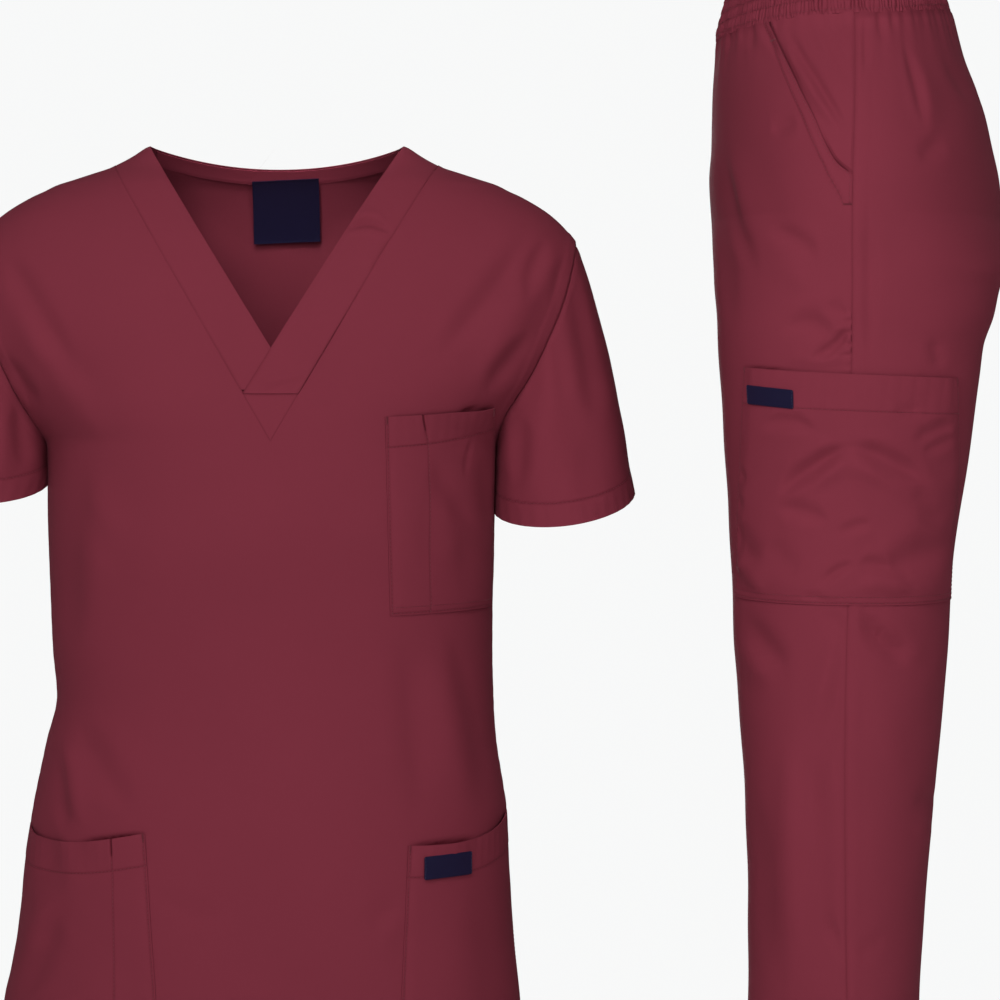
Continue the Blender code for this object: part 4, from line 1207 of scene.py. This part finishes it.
def make_top():
    front = body_panel("top_front_cloth", "front", front_neck, BAND_TOP, FRONT_COLUMNS, FRONT_LOWER_ROWS)
    back = body_panel("top_back_cloth", "back", back_neck, NECK_HALF, BACK_COLUMNS, BACK_LOWER_ROWS)
    sleeves = {side: sleeve(side, front, back) for side in ("left", "right")}
    finish_panel(front, "front", 0.25)
    finish_panel(back, "back", 0.35)
    for pocket in (LOWER_LEFT_POCKET, LOWER_RIGHT_POCKET):
        for panel in (front, back):
            fill_corner(panel, pocket)
    hollow_front(front, CHEST_POCKET, CHEST_GAPE)
    hollow_front(front, LOWER_LEFT_POCKET, LOWER_LEFT_GAPE)
    hollow_front(front, LOWER_RIGHT_POCKET, LOWER_RIGHT_GAPE)
    hand_over(front, "top_front")
    hand_over(back, "top_back")
    hand_over(sleeves["left"], "sleeve_left")
    hand_over(sleeves["right"], "sleeve_right")
    threads = [stitches(*panel.line("bottom", HEM_DEPTH)) for panel in (front, back)]
    threads += [stitches(*tube.line("bottom", SLEEVE_HEM_DEPTH)) for tube in sleeves.values()]

    hand_over(band("neckband_over", 1, BAND_LAP, BAND_END), "neckband_left")
    hand_over(band("neckband_under", -1, 0.0, BAND_END + 3), "neckband_right")
    hand_over(insert(), "neck_insert")
    # The tape's finish is painted light: a lighter copy of the poplin.
    hand_over(neck_tape(back), "back_neck_tape", wall=RIBBON, finish=tape_painted_light_finish)
    label = flat_patch("neck_label_cloth", NECK_LABEL, "back", LABEL_LIFT, LABEL_COLUMNS, LABEL_ROWS)
    hand_over(label, "neck_label",
              wall=RIBBON, finish=ribbon)

    chest = patch_pocket("chest_pocket_cloth", CHEST_POCKET, CHEST_PEN, CHEST_GAPE, CHEST_POCKET_CREASES)
    left = patch_pocket("lower_pocket_left_cloth", LOWER_LEFT_POCKET, None, LOWER_LEFT_GAPE)
    right = patch_pocket("lower_pocket_right_cloth", LOWER_RIGHT_POCKET, LOWER_PEN, LOWER_RIGHT_GAPE)
    hand_over(chest, "chest_pocket")
    hand_over(left, "lower_pocket_left")
    hand_over(right, "lower_pocket_right")
    for patch, pocket in ((chest, CHEST_POCKET), (left, LOWER_LEFT_POCKET), (right, LOWER_RIGHT_POCKET)):
        threads += patch_stitches(patch, pocket["hem"], 0.07)
    for patch, pen in ((chest, CHEST_PEN), (right, LOWER_PEN)):
        threads.append(stitches(*pen_line(patch, pen)))

    tag = flat_patch("pocket_tag_cloth", TAG_ON_TOP, "front", TAG_LIFT, TAG_COLUMNS, TAG_ROWS, TAG_RADIUS)
    tag.rise += body_creases(tag.base[..., 0], tag.base[..., 2], "front")
    hand_over(tag, "pocket_tag",
              wall=RIBBON, finish=ribbon)
    hand_over_thread("top_stitching", threads, wine_thread)
    trims = [stitches(*label.line(edge, 1.3), 1.8, 0.6) for edge in ("top", "bottom", "left", "right")]
    trims += tag_stitches(tag)
    hand_over_thread("label_stitching", trims, navy_thread)


def tag_stitches(tag):
    """A tag is sewn down at its two sides."""
    return [stitches(*tag.line(edge, 1.1), *TRIM_STITCH) for edge in ("left", "right")]


# ---- The trousers ----

TUCK = 1.8                  # a panel's top under the waistband
PANEL_COLUMNS = 78
PANEL_ROWS = 228
BAND_COLUMNS = 1300
BAND_ROWS = 18
BAND_STITCHING = (0.12, 0.38, 0.64, 0.9)        # shares down the waistband
GATHER_PITCH = 3.0
FACING_SHOWS = 0.7          # share of the facing's width that shows
CARGO_GAPE = (-0.02, 0.26, 0.5)
CARGO_TAG_LIFT = 4.2


def waist_seam(angle):
    return WAIST_SEAM - WAIST_DIP * np.sin(angle) * np.abs(np.sin(angle))


def middle_angle(z, reach):
    """Angle at which a leg's slice meets the middle seam, or the inseam lower down."""
    centre, width = leg_ring(z)
    inseam = np.pi - np.arcsin(TOUCH / reach)
    return np.minimum(np.arccos(np.clip((TOUCH - centre) / width, -1, 1)), inseam)


def leg_creases(angle, z, leg):
    """Creases of a leg: the outer table on its outer side and the inner one inside.

    The right leg has the same ones a little lower, the outer ones further back and the
    inner ones further forward.
    """
    shift, drop = (0.0, 0.0) if leg == "left" else (5.0, 13.0)
    forward = forward_of(angle, z)
    outside = step(np.cos(angle), -0.1, 0.2)
    below_crotch = step(-z, -CROTCH - 10, -CROTCH + 20)
    lift = creased(LEG_CREASES, forward + shift, z + drop) * outside
    lift += creased(INNER_LEG_CREASES, forward - shift, z + drop) * (1 - outside) * below_crotch
    return lift + 0.45 * swell(LEG_REACH * angle, z, 96.0, 0.5 + shift)


# Shares down a panel, closer together at the slanting pocket's foot and at the puckers.
PANEL_DOWN = spread(PANEL_ROWS, 0.155, 0.295, closer=3.6, within=0.035)
TACK_ROW = float(np.interp(0.18, PANEL_DOWN, np.linspace(0, 1, PANEL_ROWS)))
TACK_AT = -52.5             # height of that row, where the slant's bar tack lies


def trouser_panel(leg, face):
    """A front or back from the side seam, or the slant pocket's edge, to the middle."""
    share = spread(PANEL_COLUMNS, 0.0, closer=3.0, within=0.03)
    down = PANEL_DOWN[:, None]
    seam = np.full((PANEL_ROWS, PANEL_COLUMNS), WAIST_SEAM)
    for _ in range(4):
        z = seam + (TROUSER_HEM - seam) * down ** 1.12
        reach = smooth(TROUSERS, face, z)
        start = np.full(z.shape, 2 * TOUCH)
        if face == "front":
            start = np.where(z > SLANT_FOOT, smooth(SLANT, "f", z), start)
        start = np.arcsin(start / reach)
        angle = start + (middle_angle(z, reach) - start) * share
        angle = angle if face == "front" else -angle
        seam = np.broadcast_to(waist_seam(angle[0]) + TUCK, z.shape)
    panel = Cloth("trouser_" + face + "_" + leg + "_cloth", on_trousers(angle, z, leg))
    outer, middle = panel.in_from("left"), panel.in_from("right")
    top, bottom = panel.in_from("top"), panel.in_from("bottom")
    panel.rise += leg_creases(angle, z, leg) * step(outer, 0, 7) * step(middle, 0, 10) * step(top, 0, 5)
    arc = LEG_REACH * np.abs(angle)
    panel.grain = LEG_REACH * angle
    panel.rise += 0.9 * gathers(arc, 9.5, 0.7) * np.exp(-(top / 15) ** 1.3) * step(top, 0, 3)
    panel.rise += 0.5 * gathers(arc, 21.0, 2.7) * np.exp(-(top / 38) ** 2)
    panel.groove(top - TUCK, 2.0, 0.7, 0.5)
    panel.groove(middle, 1.5, 0.5, 0.5)
    if face == "back":
        panel.groove(outer, 0.9, 0.4, 0.3)
        panel.rise += 0.45 * step(outer, 1, 3) * (1 - step(outer, 9, 12))
    else:
        slanted = step(z, TACK_AT - 3, TACK_AT + 1)
        away = beside_slant(panel)[:, None]
        panel.rise += 0.5 * slanted * (1 - step(outer, away - 1, away + 2))
        panel.groove(outer, 0.7, 0.15, 0.2)
        panel.groove(outer - away + 40 * (1 - slanted), 0.9, 0.25, 0.35)
    panel.rise += seam_puckers(face, z) * np.exp(-outer / 5) * step(outer, 0, 1)
    if leg == "left":
        hollow_leg(panel, angle)
    panel.groove(bottom - HEM_DEPTH, 1.2, 0.4, 0.5)
    return panel


def beside_slant(panel):
    """On each row, how far in from the panel's edge the outer stitches lie."""
    z = panel.base[:, 0, 2]
    return smooth(SLANT_STITCHING, "f", z) - np.where(z > SLANT_FOOT, smooth(SLANT, "f", z), 0.0)


def seam_puckers(face, z):
    """Short puckers across the side seam, strongest above the pocket and at the knee."""
    above, knee = np.exp(-((z + 152) / 24) ** 2), np.exp(-((z + 640) / 50) ** 2)
    share = (1.6, 0.3) if face == "front" else (0.12, 0.7)
    return share[0] * above * gathers(z, 6.8, 0.3) + share[1] * knee * gathers(z, 15.0, 0.3)


def waistband():
    """The elasticated ring: narrow slanting gathers between four rows of stitching."""
    angle = np.radians(np.linspace(-180, 180, BAND_COLUMNS, endpoint=False))
    share = spread(BAND_ROWS, *BAND_STITCHING, closer=1.5, within=0.03)[:, None]
    z = waist_seam(angle) + BAND_HEIGHT * (1 - share)
    leg = np.cos(angle) >= 0
    folded = np.where(leg, angle, np.sign(angle) * np.pi - angle)
    left = on_trousers(folded + 0 * z, z, "left", 0.3)
    right = on_trousers(folded + 0 * z, z, "right", 0.3)
    skin = tuple(np.where(leg[:, None], a, b) for a, b in zip(left, right))
    ring = Cloth("waistband_cloth", skin, ring=True)
    arc = ring.in_from("left")
    whole = arc[:, -1:] + np.linalg.norm(ring.base[:, 0] - ring.base[:, -1], axis=-1)[:, None]
    turns = arc / whole
    strip = np.zeros_like(share)
    for line in BAND_STITCHING:
        strip = strip + step(share, line - 0.03, line + 0.03)
    folds = np.round(whole.mean() / GATHER_PITCH)
    lean = 0.9 * share + 0.25 * np.sin(2 * np.pi * 11 * turns + strip)
    wander = 0.8 * np.sin(2 * np.pi * 37 * turns + 1.9 * strip) + 0.5 * np.sin(2 * np.pi * 89 * turns + 0.7)
    crest = 2 * np.abs(np.sin(np.pi * folds * turns + lean + wander)) ** 0.8 - 1
    height = 0.62 + 0.3 * np.sin(2 * np.pi * 23 * turns + 1.1 * strip)
    sewn = np.zeros_like(share)
    for line in BAND_STITCHING:
        sewn = np.maximum(sewn, np.exp(-((share - line) / 0.045) ** 2))
    ring.rise += height * crest * (1 - 0.3 * sewn) - 0.3 * sewn
    # Painted shade in the dips between gathers and along the stitch rows.
    ring.painted_shade = np.clip(-crest, 0, 1) * 0.55 + 0.1 * sewn
    ends = np.minimum(share, 1 - share)
    ring.rise -= 0.7 * (1 - step(ends, 0, 0.05))
    return ring


def pocket_facing(leg):
    """The cloth that shows in the slanting pocket, sewn to the back at the side seam."""
    share = spread(48, 0.0, FACING_SHOWS, closer=3.0, within=0.03)
    down = np.linspace(0, 1, 64)[:, None]
    z = WAIST_SEAM - 10 + (FACING_FOOT - WAIST_SEAM + 10) * down
    slant = np.arcsin(smooth(SLANT, "f", z) / smooth(TROUSERS, "front", z))
    first = -np.radians(FACING_BEHIND)
    shown, hidden = share / FACING_SHOWS, (share - FACING_SHOWS) / (1 - FACING_SHOWS)
    angle = np.where(shown < 1, first + (slant - first) * shown, slant + np.radians(FACING_UNDER) * hidden)
    top = (waist_seam(angle) - WAIST_SEAM + 10 + TUCK) * (1 - down)
    z = z + top
    piece = Cloth("pocket_facing_" + leg + "_cloth", on_trousers(angle, z, leg, -FACING_DEPTH))
    seam_side = step(angle, 0.002, 0.02)
    toward_slant = 1 - step(angle - slant, 0.01, 0.07)
    piece.rise += (1.7 + 0.9 * seam_side) * toward_slant
    forward = forward_of(angle, z)
    shift = 0.0 if leg == "left" else 4.0
    piece.rise += creased(FACING_CREASES, forward + shift, z) * seam_side * toward_slant
    below_band = 1 - step(down, 0, 0.18)
    piece.rise += 0.4 * gathers(LEG_REACH * angle, 11.0, 1.7) * seam_side * toward_slant * below_band
    under = step(angle - slant, -0.010, 0.002)
    # Painted shade in the gap under the slant pocket's edge.
    piece.painted_shade = np.maximum(piece.painted_shade, under * smooth(SLANT_SHADE, "dark", z))
    return piece


def cargo_pocket():
    """A patch round the left side seam, from its front edge to its back edge."""
    share = spread(112, 0.0, 1.0, closer=4.0, within=0.02)
    down = spread(PATCH_ROWS, 0.0, CARGO["hem"] / 168, 1.0, closer=3.0, within=0.02)[:, None]
    edges = between(CARGO["front"], down), between(CARGO["back"], down)
    angle = np.radians(between(edges, share))
    mouth = three_heights(CARGO["opening"], share)
    z = between((mouth, three_heights(CARGO["base"], share)), down)
    patch = Cloth("cargo_pocket_cloth", on_trousers(angle, z, "left", PATCH_EDGE))
    side = patch.near("left", "right", "bottom")
    top = patch.in_from("top")
    patch.rise += leg_creases(angle, z, "left")
    patch.rise += 1.5 * step(side, 1, 14) - 0.25 * (1 - step(side, 0, 1.4))
    calm = step(side, 0, 9) * step(top, 12, 30)
    patch.rise += 0.95 * creased(CARGO_CREASES, forward_of(angle, z), z) * calm
    patch.rise += 0.3 * swell(LEG_REACH * angle, z, 46.0, 0.4) * step(side, 0, 8)
    sew_patch(patch, share, CARGO_GAPE, 26, CARGO["hem"], (0.2, 0.25), (0.2, 0.12), 10.0, 1.3)
    return patch


def cargo_tag():
    """The tag on the cargo pocket's hem, at its front end."""
    share = spread(TAG_COLUMNS, 0.0, 1.0, closer=5.0, within=0.03)
    angle = np.radians(between(CARGO_TAG["angle"], share))
    cut = rounded(share, LEG_REACH * abs(angle[-1] - angle[0]), TAG_RADIUS)
    down = np.linspace(0, 1, TAG_ROWS)[:, None]
    z = between(CARGO_TAG["top"], share) - cut - (CARGO_TAG["height"] - 2 * cut) * down
    tag = Cloth("cargo_tag_cloth", on_trousers(angle, z, "left", CARGO_TAG_LIFT))
    tag.rise += leg_creases(angle + 0 * z, z, "left")
    return soften(tag, CARGO_TAG["height"])


def hollow_leg(panel, angle):
    """The leg lies deeper behind the cargo pocket, with painted shade in its open mouth."""
    z = panel.base[..., 2]
    down = (z - CARGO["opening"][1]) / (CARGO["base"][1] - CARGO["opening"][1])
    front, back = between(CARGO["front"], down), between(CARGO["back"], down)
    across = (front - np.degrees(angle)) / (front - back)
    below = three_heights(CARGO["opening"], np.clip(across, 0, 1)) - z
    hollow_behind(panel, across, below, z - CARGO["base"][1], CARGO_GAPE)


def make_trousers():
    threads = []
    for leg in ("left", "right"):
        for face, area in (("front", 0.228), ("back", 0.221)):
            panel = trouser_panel(leg, face)
            hand_over(panel, "trouser_" + face + "_" + leg,
                      finish=trouser_poplin_painted_light)
            threads.append(stitches(*panel.line("bottom", HEM_DEPTH)))
            if face == "front":
                for away in (1.8, beside_slant(panel)):
                    threads.append(stitches(*panel.line("left", away, 0.0, TACK_ROW)))
                threads.append(bar_tack(*panel.across(TACK_ROW, 8.0)))
                threads.append(bar_tack(*panel.across(0.016, 7.0)))
        hand_over(pocket_facing(leg), "pocket_facing_" + leg,
                  finish=trouser_poplin_painted_light)
    ring = waistband()
    hand_over(ring, "waistband", wall=1.6, finish=trouser_poplin_painted_light)
    for line in BAND_STITCHING:
        threads.append(stitches(*ring.line("top", line * BAND_HEIGHT), 2.1, 0.6))
    cargo = cargo_pocket()
    hand_over(cargo, "cargo_pocket",
              finish=trouser_poplin_painted_light)
    threads += patch_stitches(cargo, CARGO["hem"], 0.05)
    tag = cargo_tag()
    hand_over(tag, "cargo_tag",
              wall=RIBBON, finish=ribbon)
    hand_over_thread("trouser_stitching", threads, wine_thread)
    hand_over_thread("tag_stitching", tag_stitches(tag), navy_thread)


# ---- The studio ----

def matte(name, colour, glow=0.0):
    finish = bpy.data.materials.new(name)
    finish.use_nodes = True
    shader = finish.node_tree.nodes["Principled BSDF"]
    shader.inputs["Base Color"].default_value = (0, 0, 0, 1) if glow else rgba(colour)
    shader.inputs["Roughness"].default_value = 0.95
    shader.inputs["Specular IOR Level"].default_value = 0.0
    shader.inputs["Emission Color"].default_value = rgba(colour)
    shader.inputs["Emission Strength"].default_value = glow
    return finish


def stage_mesh(name, corners, faces, finish):
    mesh = bpy.data.meshes.new(name)
    mesh.from_pydata(corners, [], faces)
    mesh.materials.append(finish)
    made = bpy.data.objects.new(name, mesh)
    bpy.context.collection.objects.link(made)
    return made


def aim_light(light, place, aim):
    made = bpy.data.objects.new(light.name, light)
    made.location = place
    away = np.array(place) - np.array(aim)
    made.rotation_euler = Vector(away).to_track_quat("Z", "Y").to_euler()
    made.visible_camera = False
    bpy.context.collection.objects.link(made)


def soft_light(name, place, aim, size, power):
    light = bpy.data.lights.new(name, "AREA")
    light.shape = "RECTANGLE"
    light.size, light.size_y = size
    light.energy = power
    aim_light(light, place, aim)


CAMERA_AT = (0.1717, -4.0, -0.2726)
LENS = 36 * 4 / 0.77
FLOOR = -0.889


def make_studio():
    camera = bpy.data.objects.new("camera", bpy.data.cameras.new("camera"))
    camera.data.lens = LENS
    camera.data.sensor_width = 36
    camera.location = CAMERA_AT
    camera.rotation_euler = (np.pi / 2, 0, 0)
    bpy.context.collection.objects.link(camera)
    bpy.context.scene.camera = camera

    paper = matte("pale_paper", (0.937, 0.942, 0.942), 1.0)
    corners = [(-6, -6, FLOOR), (6, -6, FLOOR), (6, 2.3, FLOOR), (-6, 2.3, FLOOR)]
    stage_mesh("floor", corners, [(0, 1, 2, 3)], matte("pale_floor", (0.86, 0.86, 0.86)))
    turn = np.linspace(0, 2 * np.pi, 64, endpoint=False)
    ring = [(8 * np.cos(t), 8 * np.sin(t), z) for z in (-2.5, 9.0) for t in turn]
    faces = [(k, (k + 1) % 64, (k + 1) % 64 + 64, k + 64) for k in range(64)]
    wall = stage_mesh("backdrop", ring, faces, paper)
    wall.visible_diffuse = False
    wall.visible_glossy = False

    soft_light("key", (-1.0, -3.2, 1.4), (0.2, 0, -0.3), (1.4, 1.2), 50)
    soft_light("fill", (1.6, -2.5, 0.4), (0.5, 0, -0.1), (1.2, 1.2), 14)
    soft_light("front", (0.17, -4.5, 0.2), (0.17, 0, -0.25), (1.6, 1.6), 32)
    soft_light("above", (0.0, -1.9, 2.0), (0.15, 0.05, -0.2), (0.8, 0.8), 20)
    soft_light("behind", (0.17, 4.4, -0.1), (0.17, 0, -0.3), (1.8, 1.8), 95)
    for side, power in ((-1, 56), (1, 20)):
        collar = bpy.data.lights.new("collar", "SPOT")
        collar.energy = power
        collar.spot_size = np.radians(10.5)
        collar.spot_blend = 1.0
        collar.shadow_soft_size = 0.06
        aim_light(collar, (0.15 * side, -0.95, 0.72), (-0.03 * side, 0.08, 0.012))
    world = bpy.data.worlds.new("studio")
    bpy.context.scene.world = world
    world.use_nodes = True
    world.node_tree.nodes["Background"].inputs["Color"].default_value = (1, 1, 1, 1)
    world.node_tree.nodes["Background"].inputs["Strength"].default_value = 0.15
    bpy.context.scene.view_settings.view_transform = "Standard"


make_studio()
make_top()
make_trousers()
